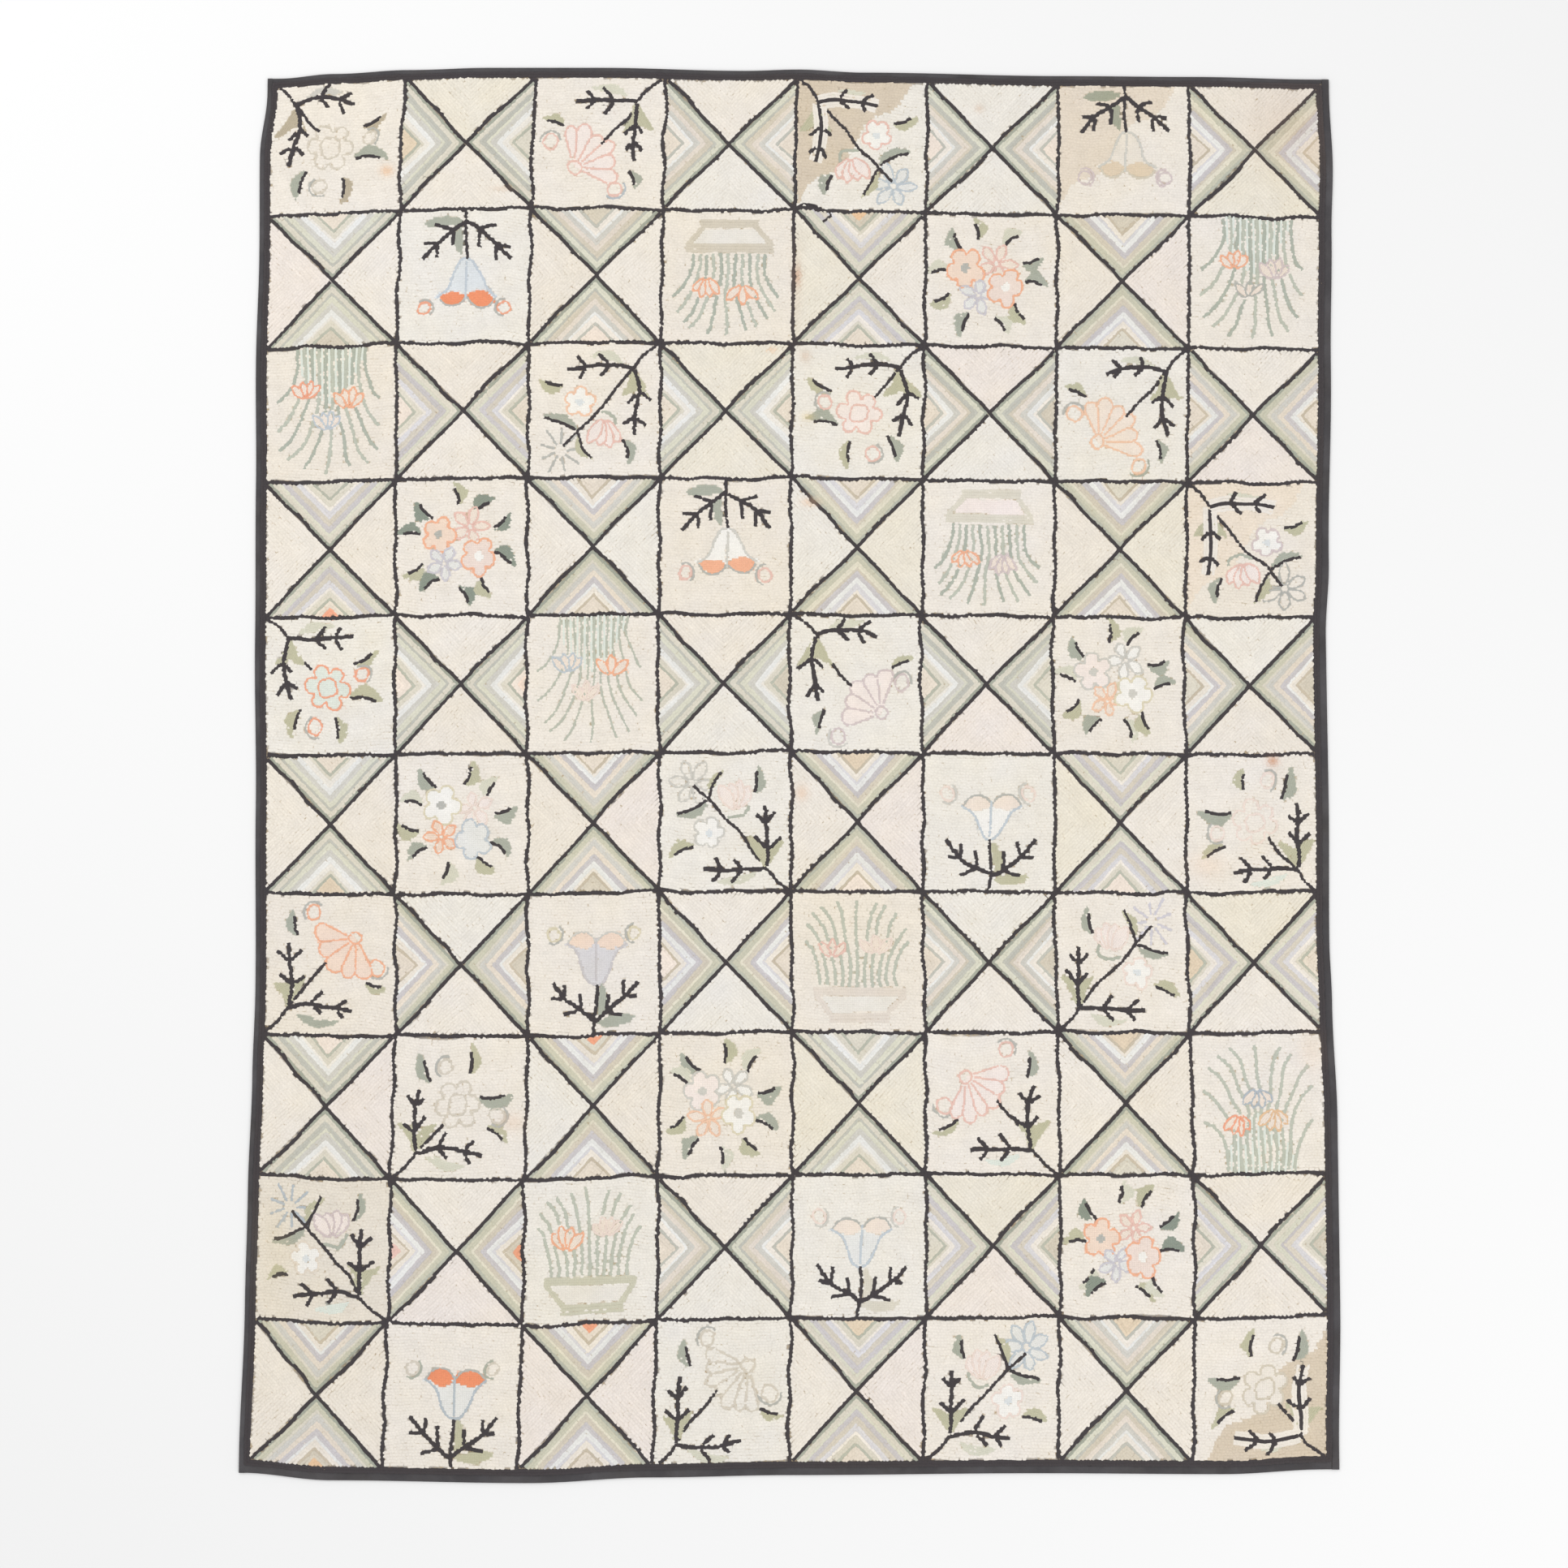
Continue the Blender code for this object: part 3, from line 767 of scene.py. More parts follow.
# Nothing more is hooked into the border, or past it
def closeBorder(inward):
    x = chartLow[0] + (np.arange(chartSize[0])[:, None] + 0.5) * rugSettings["cell"]
    y = chartLow[1] + (np.arange(chartSize[1])[None, :] + 0.5) * rugSettings["cell"]
    left, right = [lieUnevenly(edge, y)[0] for edge in (pileLow[0] + inward, pileHigh[0] - inward)]
    bottom, top = [lieUnevenly(x, edge)[1] for edge in (pileLow[1] + inward, pileHigh[1] - inward)]
    taken[(x < left) | (x > right) | (y < bottom) | (y > top)] = True


# The hooking, in the order that decides which row makes way for which
tilesAcross, tilesDown = tileGrid["across"], tileGrid["down"]
blackBorder()
closeBorder(borderRows["wide"])
for number in range(1, tilesAcross):
    blackLine(np.full(200, float(number)), np.linspace(0, tilesDown, 200))
for number in range(1, tilesDown):
    blackLine(np.linspace(0, tilesAcross, 160), np.full(160, float(number)))
crossTiles = [(row, column) for row in range(1, tilesDown + 1) for column in range(1, tilesAcross + 1)
              if (row + column) % 2]
for row, column in crossTiles:
    share = np.linspace(0, 1, 20)
    blackLine(column - 1 + share, row - 1 + share, blackRows["diagonalFat"])
    blackLine(column - 1 + share, row - share, blackRows["diagonalFat"])
# A loose end that strayed from the crossing under the top row
looseEnd = ((0.0, 0.0), (0.08, -0.03), (0.2, -0.01), (0.28, 0.03), (0.22, 0.08))
stroke(tilePlace(2, 5, "v"), looseEnd, "black", 0.9)
for row, column, motif, flip, look in flowerTiles:
    motifMakers[motif](tilePlace(row, column, flip), look)
print("lines and motifs hooked:", sum(map(len, loopStore["x"])), "loops")
for row, column in crossTiles:
    crossTile(row, column)
for row, column, motif, flip, look in flowerTiles:
    levelGround(row, column, flip, look)

loops = {name: np.concatenate(parts) for name, parts in loopStore.items()}
print("all hooked:", len(loops["x"]), "loops")


# Stains: row, column, across, up (in the tile), reach across, reach up (m), yarn, strength
stains = (
    (1, 1, 0.9, 0.3, 0.014, 0.012, "stainOrange", 0.7), (1, 2, 0.8, 0.15, 0.030, 0.006, "stainBrown", 0.3),
    (1, 6, 0.4, 0.8, 0.010, 0.009, "stainBrown", 0.35), (1, 8, 0.75, 0.7, 0.10, 0.10, "stainBrown", 0.2),
    (2, 5, 0.03, 0.5, 0.007, 0.022, "rust", 0.5), (2, 5, 0.02, 0.45, 0.012, 0.10, "stainBrown", 0.2),
    (3, 4, 0.85, 0.95, 0.009, 0.006, "stainOrange", 0.6), (3, 5, 0.1, 0.9, 0.012, 0.014, "stainBrown", 0.35),
    (3, 5, 0.12, 0.45, 0.014, 0.009, "mustard", 0.5), (4, 5, 0.15, 0.82, 0.020, 0.010, "stainOrange", 0.55),
    (6, 5, 0.08, 0.7, 0.014, 0.018, "stainOrange", 0.4), (6, 8, 0.66, 0.95, 0.013, 0.012, "rust", 0.7),
    (6, 8, 0.15, 0.2, 0.040, 0.028, "stainOrange", 0.22), (8, 2, 0.9, 0.4, 0.026, 0.020, "stainOrange", 0.25),
    (8, 8, 0.9, 0.85, 0.030, 0.050, "stainOrange", 0.14), (9, 1, 0.15, 0.5, 0.040, 0.100, "mustard", 0.18),
)
# A stain shows less on a dark loop
darkLoop = {"below": 0.3, "share": 0.35}
for row, column, across, up, reachX, reachY, yarn, strength in stains:
    x, y = onRug(column - 1 + across, row - up)
    share = strength * np.exp(-(((loops["x"] - x) / reachX) ** 2 + ((loops["y"] - y) / reachY) ** 2))
    share = share * np.where(loops["colour"].sum(axis=1) > darkLoop["below"], 1, darkLoop["share"])
    loops["colour"] = loops["colour"] + (yarnColour[yarn] - loops["colour"]) * share[:, None]


# Slow changes over the rug, as strong as this and in patches of this size
def patches(strength, size, count=7):
    total = 0.0
    for number in range(count):
        turn = random.uniform(0, math.tau)
        wave = math.tau / (size * random.uniform(0.7, 1.5))
        run = (loops["x"] * math.cos(turn) + loops["y"] * math.sin(turn)) * wave
        total = total + np.sin(run + random.uniform(0, math.tau))
    return strength * (total / math.sqrt(count / 2))


# Uneven dye: the tone from loop to loop and in small patches, the warmth in wide ones
dyeSettings = {"tone": 0.980, "byLoop": 0.011, "tonePatch": (0.010, 0.05),
               "warmPatches": ((0.010, 0.45), (0.006, 0.09)), "warmYarn": (0.3, 0.0, -1.0), "raised": 0.00018}
count = len(loops["x"])
byLoop = random.normal(0, dyeSettings["byLoop"], count)
shade = dyeSettings["tone"] + byLoop + patches(*dyeSettings["tonePatch"])
loops["colour"] = np.clip(loops["colour"] * shade[:, None], 0, 1)
warmth = sum(patches(*patch) for patch in dyeSettings["warmPatches"])
loops["colour"] = np.clip(loops["colour"] * (1 + np.outer(warmth, dyeSettings["warmYarn"])), 0, 1)
loops["raised"] = loops["raised"] + random.normal(0, dyeSettings["raised"], count)


# Everything below needs Blender
for store in (bpy.data.lights, bpy.data.cameras):
    for old in list(store):
        store.remove(old)


def addObject(name, data):
    added = bpy.data.objects.new(name, data)
    bpy.context.scene.collection.objects.link(added)
    return added


# Inputs of a node by name or number: a socket is linked, anything else is set
def setInputs(tree, node, inputs):
    for name, value in inputs.items():
        if isinstance(value, bpy.types.NodeSocket):
            tree.links.new(value, node.inputs[name])
        else:
            node.inputs[name].default_value = value


def addNode(tree, kind, inputs=None, **settings):
    node = tree.nodes.new(kind)
    for name, value in settings.items():
        setattr(node, name, value)
    setInputs(tree, node, inputs or {})
    return node


def addMath(tree, operation, *values, **settings):
    inputs = dict(enumerate(values))
    return addNode(tree, "ShaderNodeMath", inputs, operation=operation, **settings).outputs[0]


def addNoise(tree, where, scale, detail, roughness=0.5):
    inputs = {"Vector": where, "Scale": scale, "Detail": detail, "Roughness": roughness}
    return addNode(tree, "ShaderNodeTexNoise", inputs).outputs["Fac"]


def addRange(tree, value, fromLow, fromHigh, toLow=0.0, toHigh=1.0):
    inputs = {"Value": value, "From Min": fromLow, "From Max": fromHigh, "To Min": toLow, "To Max": toHigh}
    return addNode(tree, "ShaderNodeMapRange", inputs).outputs[0]


# The colour sockets of a mix are its inputs 6 and 7 and its output 2
def addMix(tree, share, first, second, blend="MIX"):
    inputs = {"Factor": share, 6: first, 7: second}
    return addNode(tree, "ShaderNodeMix", inputs, data_type="RGBA", blend_type=blend).outputs[2]


def addBump(tree, height, strength, distance):
    inputs = {"Strength": strength, "Distance": distance, "Height": height}
    return addNode(tree, "ShaderNodeBump", inputs).outputs[0]


def addGroup(tree, group, where, **inputs):
    return addNode(tree, "ShaderNodeGroup", {"Vector": where, **inputs}, node_tree=group).outputs


# A node group with its sockets: the tree, what it is given, and the node that puts out
def startGroup(name, kind, inputs, outputs):
    tree = bpy.data.node_groups.new(name, kind)
    for word, socket, value in inputs:
        added = tree.interface.new_socket(word, in_out="INPUT", socket_type="NodeSocket" + socket)
        if value is not None:
            added.default_value = value
    for word, socket in outputs:
        tree.interface.new_socket(word, in_out="OUTPUT", socket_type="NodeSocket" + socket)
    return tree, tree.nodes.new("NodeGroupInput").outputs, tree.nodes.new("NodeGroupOutput")


# Shader groups that several of the cloths use

# Fine hairs of the yarn: a value round 1 for the colour and a height for the bump
def buildWoolFibre():
    tree, given, out = startGroup(
        "woolFibre", "ShaderNodeTree",
        (("Vector", "Vector", None), ("Scale", "Float", 900.0), ("Depth", "Float", 0.12)),
        (("Tone", "Float"), ("Height", "Float")))
    fine = addNoise(tree, given["Vector"], given["Scale"], 3.0, 0.62)
    coarse = addNoise(tree, given["Vector"], addMath(tree, "MULTIPLY", given["Scale"], 0.28), 2.0)
    both = addMath(tree, "ADD", fine, coarse)
    tone = addMath(tree, "MULTIPLY_ADD", addMath(tree, "SUBTRACT", both, 1.0), given["Depth"], 1.0)
    setInputs(tree, out, {"Tone": tone, "Height": both})
    return tree


# Slow changes of tone that years on a floor leave
def buildAgedTone():
    tree, given, out = startGroup(
        "agedTone", "ShaderNodeTree",
        (("Vector", "Vector", None), ("Color", "Color", (0.8, 0.8, 0.8, 1.0)),
         ("Soil", "Color", (0.70, 0.60, 0.45, 1.0)), ("Amount", "Float", 0.1)),
        (("Color", "Color"), ("Mask", "Float")))
    wide = addNoise(tree, given["Vector"], 2.6, 4.0, 0.6)
    spots = addNoise(tree, given["Vector"], 17.0, 3.0)
    spread = addRange(tree, addMath(tree, "MULTIPLY", wide, spots), 0.17, 0.42)
    share = addMath(tree, "MULTIPLY", spread, given["Amount"])
    soiled = addMix(tree, share, given["Color"], given["Soil"], "MULTIPLY")
    setInputs(tree, out, {"Color": soiled, "Mask": spread})
    return tree


# Crossing threads: a height, and a mask that is high on the upright threads
def buildPlainWeave():
    tree, given, out = startGroup(
        "plainWeave", "ShaderNodeTree",
        (("Vector", "Vector", None), ("Threads", "Float", 500.0), ("Unevenness", "Float", 0.15)),
        (("Height", "Float"), ("Mask", "Float")))
    stray = addMath(tree, "MULTIPLY", addNoise(tree, given["Vector"], 60.0, 2.0), given["Unevenness"])
    parts = addNode(tree, "ShaderNodeSeparateXYZ", {0: given["Vector"]}).outputs
    waves = []
    for axis in "XY":
        turns = addMath(tree, "MULTIPLY", parts[axis], given["Threads"])
        bent = addMath(tree, "MULTIPLY_ADD", stray, 8.0, turns)
        waves.append(addMath(tree, "SINE", addMath(tree, "MULTIPLY", bent, math.pi)))
    setInputs(tree, out, {
        "Height": addMath(tree, "MULTIPLY_ADD", addMath(tree, "MULTIPLY", *waves), 0.5, 0.5),
        "Mask": addMath(tree, "MULTIPLY_ADD", waves[0], 0.5, 0.5),
    })
    return tree


woolFibre, agedTone, plainWeave = buildWoolFibre(), buildAgedTone(), buildPlainWeave()


def startMaterial(name, roughness, sheen):
    material = bpy.data.materials.new(name)
    material.use_nodes = True
    tree = material.node_tree
    shader = tree.nodes["Principled BSDF"]
    setInputs(tree, shader, {"Roughness": roughness, "Specular IOR Level": 0.25, "Sheen Weight": sheen,
                             "Sheen Roughness": 0.55})
    where = addNode(tree, "ShaderNodeTexCoord").outputs["Object"]
    return material, tree, shader, where


def yarnOf(tree):
    return addNode(tree, "ShaderNodeAttribute", attribute_name="yarn").outputs["Color"]


# Wool of the pile. Its colour comes with each loop, with painted shade that makes it darker down between the
# rows.
pileLook = {"fibreScale": 950.0, "fibreDepth": 0.16, "bump": 0.35, "bumpDistance": 0.0006, "valley": 0.90,
            "valleyLow": 0.0056, "valleyHigh": 0.0078, "soil": (0.80, 0.73, 0.60, 1.0), "soilAmount": 0.10}


def makePileWool():
    material, tree, shader, where = startMaterial("hookedWool", 0.94, 0.18)
    fibre = addGroup(tree, woolFibre, where, Scale=pileLook["fibreScale"], Depth=pileLook["fibreDepth"])
    aged = addGroup(tree, agedTone, where, Color=yarnOf(tree), Soil=pileLook["soil"],
                    Amount=pileLook["soilAmount"])
    level = addNode(tree, "ShaderNodeSeparateXYZ", {0: where}).outputs["Z"]
    # painted shade: the colour darkens towards the foot of the loops, where shade falls between the rows
    depth = addRange(tree, level, pileLook["valleyLow"], pileLook["valleyHigh"], pileLook["valley"])
    tone = addMath(tree, "MULTIPLY", fibre["Tone"], depth)
    lit = addNode(tree, "ShaderNodeVectorMath", {0: aged["Color"], "Scale": tone}, operation="SCALE")
    setInputs(tree, shader, {
        "Base Color": lit.outputs[0],
        "Roughness": addRange(tree, fibre["Height"], 0.6, 1.4, 0.86),
        "Normal": addBump(tree, fibre["Height"], pileLook["bump"], pileLook["bumpDistance"]),
    })
    return material


# Charcoal cotton tape, faded a little in patches and in the pattern of its weave
tapeLook = {"colour": (0.048, 0.045, 0.049, 1.0), "faded": (0.082, 0.078, 0.083, 1.0), "threads": 900.0,
            "threadShare": 0.35, "soilAmount": 0.35, "bump": 0.5, "bumpDistance": 0.0005}


def makeTapeCotton():
    material, tree, shader, where = startMaterial("tapeCotton", 0.9, 0.12)
    weave = addGroup(tree, plainWeave, where, Threads=tapeLook["threads"])
    fade = addNoise(tree, where, 9.0, 5.0, 0.65)
    threads = addMath(tree, "MULTIPLY", weave["Height"], tapeLook["threadShare"])
    worn = addMath(tree, "ADD", addRange(tree, fade, 0.40, 0.72), threads, use_clamp=True)
    colour = addMix(tree, worn, tapeLook["colour"], tapeLook["faded"])
    setInputs(tree, shader, {
        "Base Color": addGroup(tree, agedTone, where, Color=colour, Amount=tapeLook["soilAmount"])["Color"],
        "Roughness": addRange(tree, fade, 0.0, 1.0, 0.82, 0.98),
        "Normal": addBump(tree, weave["Height"], tapeLook["bump"], tapeLook["bumpDistance"]),
    })
    return material


# Burlap with the backs of the stitches in it, which show the pattern from below
burlapLook = {"colour": (0.42, 0.33, 0.21, 1.0), "threads": 480.0, "fibreScale": 420.0, "soilAmount": 0.3,
              "bump": 0.5, "bumpDistance": 0.0007}


def makeBurlap():
    material, tree, shader, where = startMaterial("burlapBack", 0.95, 0.05)
    weave = addGroup(tree, plainWeave, where, Threads=burlapLook["threads"])
    fibre = addGroup(tree, woolFibre, where, Scale=burlapLook["fibreScale"])
    show = addRange(tree, fibre["Height"], 0.75, 1.05)
    thread = addMix(tree, show, burlapLook["colour"], yarnOf(tree))
    height = addMath(tree, "ADD", weave["Height"], fibre["Height"])
    setInputs(tree, shader, {
        "Base Color": addGroup(tree, agedTone, where, Color=thread, Amount=burlapLook["soilAmount"])["Color"],
        "Roughness": addRange(tree, weave["Mask"], 0.0, 1.0, 0.88),
        "Normal": addBump(tree, height, burlapLook["bump"], burlapLook["bumpDistance"]),
    })
    return material


# Geometry Nodes: one small shape on every point, turned and sized by the point's own values
pointValues = ("turn", "fat", "long", "raised")


def buildSpreadTree(name, shapeOf):
    tree, given, out = startGroup(
        name, "GeometryNodeTree",
        (("Geometry", "Geometry", None), ("Length", "Float", 0.008), ("Width", "Float", 0.006),
         ("Height", "Float", 0.004), ("Lean", "Float", 0.05), ("Seed", "Int", 3),
         ("Material", "Material", None)),
        (("Geometry", "Geometry"),))
    tree.is_modifier = True
    values = {word: addNode(tree, "GeometryNodeInputNamedAttribute", {"Name": word},
                            data_type="FLOAT").outputs[0]
              for word in pointValues}
    size = addNode(tree, "ShaderNodeCombineXYZ", {
        "X": addMath(tree, "MULTIPLY", given["Length"], values["long"]),
        "Y": addMath(tree, "MULTIPLY", given["Width"], values["fat"]),
        "Z": addMath(tree, "ADD", given["Height"], values["raised"]),
    })
    # The two leans differ by what is added to the seed. Inputs 2 and 3 are their ends.
    least = addMath(tree, "MULTIPLY", given["Lean"], -1.0)
    leans = [addNode(tree, "FunctionNodeRandomValue", {
        2: least, 3: given["Lean"], "Seed": addMath(tree, "ADD", given["Seed"], more)},
        data_type="FLOAT").outputs[1]
        for more in (0.0, 7.0)]
    turn = addNode(tree, "ShaderNodeCombineXYZ", {"X": leans[0], "Y": leans[1], "Z": values["turn"]})
    rotation = addNode(tree, "FunctionNodeEulerToRotation", {0: turn.outputs[0]})
    spread = addNode(tree, "GeometryNodeInstanceOnPoints", {
        "Points": given["Geometry"], "Instance": shapeOf(tree), "Rotation": rotation.outputs[0],
        "Scale": size.outputs[0]})
    real = addNode(tree, "GeometryNodeRealizeInstances", {"Geometry": spread.outputs[0]})
    dressed = addNode(tree, "GeometryNodeSetMaterial",
                      {"Geometry": real.outputs[0], "Material": given["Material"]})
    setInputs(tree, out, {"Geometry": dressed.outputs[0]})
    return tree


def turnedSmooth(tree, shape, rotation):
    turn = addNode(tree, "GeometryNodeTransform", {"Geometry": shape.outputs["Mesh"], "Rotation": rotation})
    return addNode(tree, "GeometryNodeSetShadeSmooth", {0: turn.outputs[0]}).outputs[0]


# A loop of yarn: four sides that rise to a point and are shaded as round
def loopOfYarn(tree):
    sizes = {"Vertices": 4, "Side Segments": 1, "Radius Top": 0.0, "Radius Bottom": math.sqrt(0.5),
             "Depth": 1.0}
    cone = addNode(tree, "GeometryNodeMeshCone", sizes, fill_type="NONE")
    return turnedSmooth(tree, cone, (0.0, 0.0, math.pi / 4))


# A stitch: a short closed bar of sewing thread that lies along X
def stitchOfThread(tree):
    sizes = {"Vertices": 6, "Side Segments": 2, "Radius": 0.5, "Depth": 1.0}
    bar = addNode(tree, "GeometryNodeMeshCylinder", sizes)
    return turnedSmooth(tree, bar, (0.0, math.pi / 2, 0.0))


# Points with values of their own: plain numbers, or colours
def pointPiece(name, places, values):
    mesh = bpy.data.meshes.new(name)
    mesh.vertices.add(len(places))
    mesh.vertices.foreach_set("co", np.asarray(places, np.float32).ravel())
    for word, data in values.items():
        kind, field = ("FLOAT_COLOR", "color") if data.ndim == 2 else ("FLOAT", "value")
        layer = mesh.attributes.new(word, kind, "POINT")
        layer.data.foreach_set(field, data.astype(np.float32).ravel())
    return addObject(name, mesh)


def spreadOver(piece, tree, settings):
    modifier = piece.modifiers.new(tree.name, "NODES")
    modifier.node_group = tree
    for item in tree.interface.items_tree:
        if item.item_type == "SOCKET" and item.in_out == "INPUT" and item.name in settings:
            modifier[item.identifier] = settings[item.name]
    depsgraph = bpy.context.evaluated_depsgraph_get()
    depsgraph.update()
    mesh = bpy.data.meshes.new_from_object(piece.evaluated_get(depsgraph), preserve_all_data_layers=True,
                                           depsgraph=depsgraph)
    piece.modifiers.clear()
    points = piece.data
    piece.data = mesh
    mesh.name = piece.name
    bpy.data.meshes.remove(points)
    for word in pointValues:
        if word in mesh.attributes:
            mesh.attributes.remove(mesh.attributes[word])
    return piece


# A map from above, which suits everything that is seen from above
def mapFromAbove(piece):
    mesh = piece.data
    places = np.empty(len(mesh.vertices) * 3, np.float32)
    mesh.vertices.foreach_get("co", places)
    places = places.reshape(-1, 3)[:, :2]
    corners = np.empty(len(mesh.loops), np.int32)
    mesh.loops.foreach_get("vertex_index", corners)
    low, high = places.min(0), places.max(0)
    flat = (places - low) / (high - low) * 0.996 + 0.002
    for name in [layer.name for layer in mesh.uv_layers]:
        mesh.uv_layers.remove(mesh.uv_layers[name])
    mesh.uv_layers.new(name="OFBake").data.foreach_set("uv", flat[corners].ravel())


# The pile, in bands two rows of tiles high
loopShape = {"Length": 0.0092, "Width": 0.0072, "Height": 0.0032, "Lean": 0.07, "Seed": 5}
pileFoot = 0.0052
tileRowsInBand = 2
bandCount = tilesDown // tileRowsInBand
hookedWool = makePileWool()
loopTree = buildSpreadTree("hookedLoops", loopOfYarn)
rowOf = (tileGrid["top"] - loops["y"]) / tileGrid["high"]
bandOf = np.clip((rowOf / tileRowsInBand).astype(int), 0, bandCount - 1)
pileBands = []
for number in range(bandCount):
    mine = bandOf == number
    places = np.column_stack((loops["x"][mine], loops["y"][mine], np.full(mine.sum(), pileFoot)))
    values = {word: loops[word][mine] for word in pointValues}
    values["yarn"] = np.column_stack((loops["colour"][mine], np.ones(mine.sum())))
    band = pointPiece("pile_%d" % (number + 1), places, values)
    spreadOver(band, loopTree, {**loopShape, "Material": hookedWool})
    mapFromAbove(band)
    pileBands.append(band)
    print(band.name, len(band.data.polygons), "faces")


# A closed piece whose faces look outwards. Where it is smooth, its ends stay flat.
def closedPiece(name, places, faces, material, smoothSides=False):
    mesh = bpy.data.meshes.new(name)
    mesh.from_pydata(places.tolist(), [], faces)
    bm = bmesh.new()
    bm.from_mesh(mesh)
    bmesh.ops.recalc_face_normals(bm, faces=bm.faces[:])
    if bm.calc_volume(signed=True) < 0:
        bmesh.ops.reverse_faces(bm, faces=bm.faces[:])
    for face in bm.faces:
        face.smooth = smoothSides and len(face.verts) == 4
    bm.to_mesh(mesh)
    bm.free()
    mesh.materials.append(material)
    return addObject(name, mesh)


# Foundation: a closed sheet of burlap, thin at the rim that the tape grips
foundationShape = {"rimInset": 0.0016, "rimLow": 0.0016, "rimHigh": 0.0029, "low": 0.0002, "high": 0.0054,
                   "perTile": 20, "pileEnd": 0.0005, "underTape": -0.0003}


# The straight place of one that lies on the rug, which undoes the warp step by step
def straightOf(x, y):
    straightX, straightY = np.array(x, float), np.array(y, float)
    for again in range(4):
        lyingX, lyingY = lieUnevenly(straightX, straightY)
        straightX += x - lyingX
        straightY += y - lyingY
    return straightX, straightY


# A coarse chart of which loop is where, and half its size
colourCell, colourReach = 0.006, (1.26, 1.62)


def colourCellsOf(x, y):
    return [((place + reach) / colourCell).astype(int) for place, reach in zip((x, y), colourReach)]


def loopColoursAt(x, y):
    cells = np.full([round(2 * reach / colourCell) for reach in colourReach], -1)
    across, along = colourCellsOf(loops["x"], loops["y"])
    cells[across, along] = np.arange(len(across))
    across, along = colourCellsOf(x, y)
    found = cells[across, along]
    for stepX, stepY in ((1, 0), (-1, 0), (0, 1), (0, -1), (1, 1), (-1, -1)):
        found = np.where(found < 0, cells[across + stepX, along + stepY], found)
    return np.where((found < 0)[..., None], yarnColour["black"], loops["colour"][found])


def makeFoundation():
    perTile = foundationShape["perTile"]
    columns, rows = [np.arange(tiles * perTile + 1) / perTile for tiles in (tilesAcross, tilesDown)]
    columns, rows = np.meshgrid(columns, rows, indexing="ij")
    x, y = [part.reshape(columns.shape) for part in onRug(columns.ravel(), rows.ravel())]
    straightX, straightY = straightOf(x, y)
    # three rings round the drawn field: at the pile's end, under the tape, and the cut edge
    rug, pile = ((-halfWide, -halfHigh), (halfWide, halfHigh)), (pileLow, pileHigh)
    for (low, high), inset in ((pile, "pileEnd"), (pile, "underTape"), (rug, "rimInset")):
        low = np.array(low) + foundationShape[inset]
        high = np.array(high) - foundationShape[inset]
        straightX = np.pad(straightX, 1, mode="edge")
        straightY = np.pad(straightY, 1, mode="edge")
        straightX[0, :], straightX[-1, :] = low[0], high[0]
        straightY[:, 0], straightY[:, -1] = high[1], low[1]
    x, y = lieUnevenly(straightX, straightY)
    isRim = np.ones(x.shape, bool)
    isRim[2:-2, 2:-2] = False
    sheets = []
    for rim, field in (("rimHigh", "high"), ("rimLow", "low")):
        height = np.where(isRim, foundationShape[rim], foundationShape[field])
        sheets.append(np.stack((x, y, height), -1).reshape(-1, 3))
    index = np.arange(x.size).reshape(x.shape)
    corners = (index[:-1, :-1], index[1:, :-1], index[1:, 1:], index[:-1, 1:])
    a, b, c, d = [corner.ravel() for corner in corners]
    ring = np.concatenate((index[:, 0], index[-1, 1:], index[-2::-1, -1], index[0, -2:0:-1]))
    after = np.roll(ring, -1)
    top = np.column_stack((a, d, c, b))
    below = np.column_stack((a, b, c, d)) + x.size
    side = np.column_stack((ring, after, after + x.size, ring + x.size))
    piece = closedPiece("foundation", np.vstack(sheets), np.vstack((top, below, side)).tolist(), makeBurlap())
    colours = loopColoursAt(x, y).reshape(-1, 3)
    colours = np.column_stack((colours, np.ones(len(colours))))
    layer = piece.data.attributes.new("yarn", "FLOAT_COLOR", "POINT")
    layer.data.foreach_set("color", np.vstack((colours, colours)).astype(np.float32).ravel())
    return piece


foundation = makeFoundation()
print("foundation:", len(foundation.data.polygons), "faces")


# Tape: a strip folded over the rim, a little puckered where it is sewn down.
# Waves are counted in radians to the metre.
tapeShape = {"thickness": 0.0011, "gap": 0.0002, "fold": 0.0012, "step": 0.009, "low": 0.0001,
             "crown": 0.0002, "rounding": 0.0004, "upperFrom": 0.002, "endGap": 0.0003,
             "drift": 0.0007, "driftWaves": (31, 73), "pucker": 0.00022, "puckerWaves": (410, 17)}
tapePhases = {"left": 0.3, "right": 1.9, "bottom": 3.1, "top": 4.4}
tapeCotton = makeTapeCotton()


# The strip cut across, from the upper inner edge round the fold to the lower one and back inside
def tapeSection(width):
    fold, thick, less = tapeShape["fold"], tapeShape["thickness"], tapeShape["rounding"]
    low = tapeShape["low"]
    high = foundationShape["rimHigh"] + tapeShape["gap"] + thick + tapeShape["crown"]
    outer = [(width, high - 0.00025), (width - less, high), (width * 0.6, high + 0.0001), (fold * 2, high)]
    for step in range(7):
        angle = math.pi / 2 * (1 - step / 3)
        middle = high - fold if angle >= 0 else low + fold
        outer.append((fold - fold * math.cos(angle), middle + fold * math.sin(angle)))
    outer += [(fold * 2, low), (width * 0.6, low), (width, low)]
    inner = [(width, low + thick), (thick + 0.0002, low + thick), (thick, low + thick + less),
             (thick, high - thick - less), (thick + 0.0002, high - thick), (width, high - thick)]
    return np.array(outer + inner)


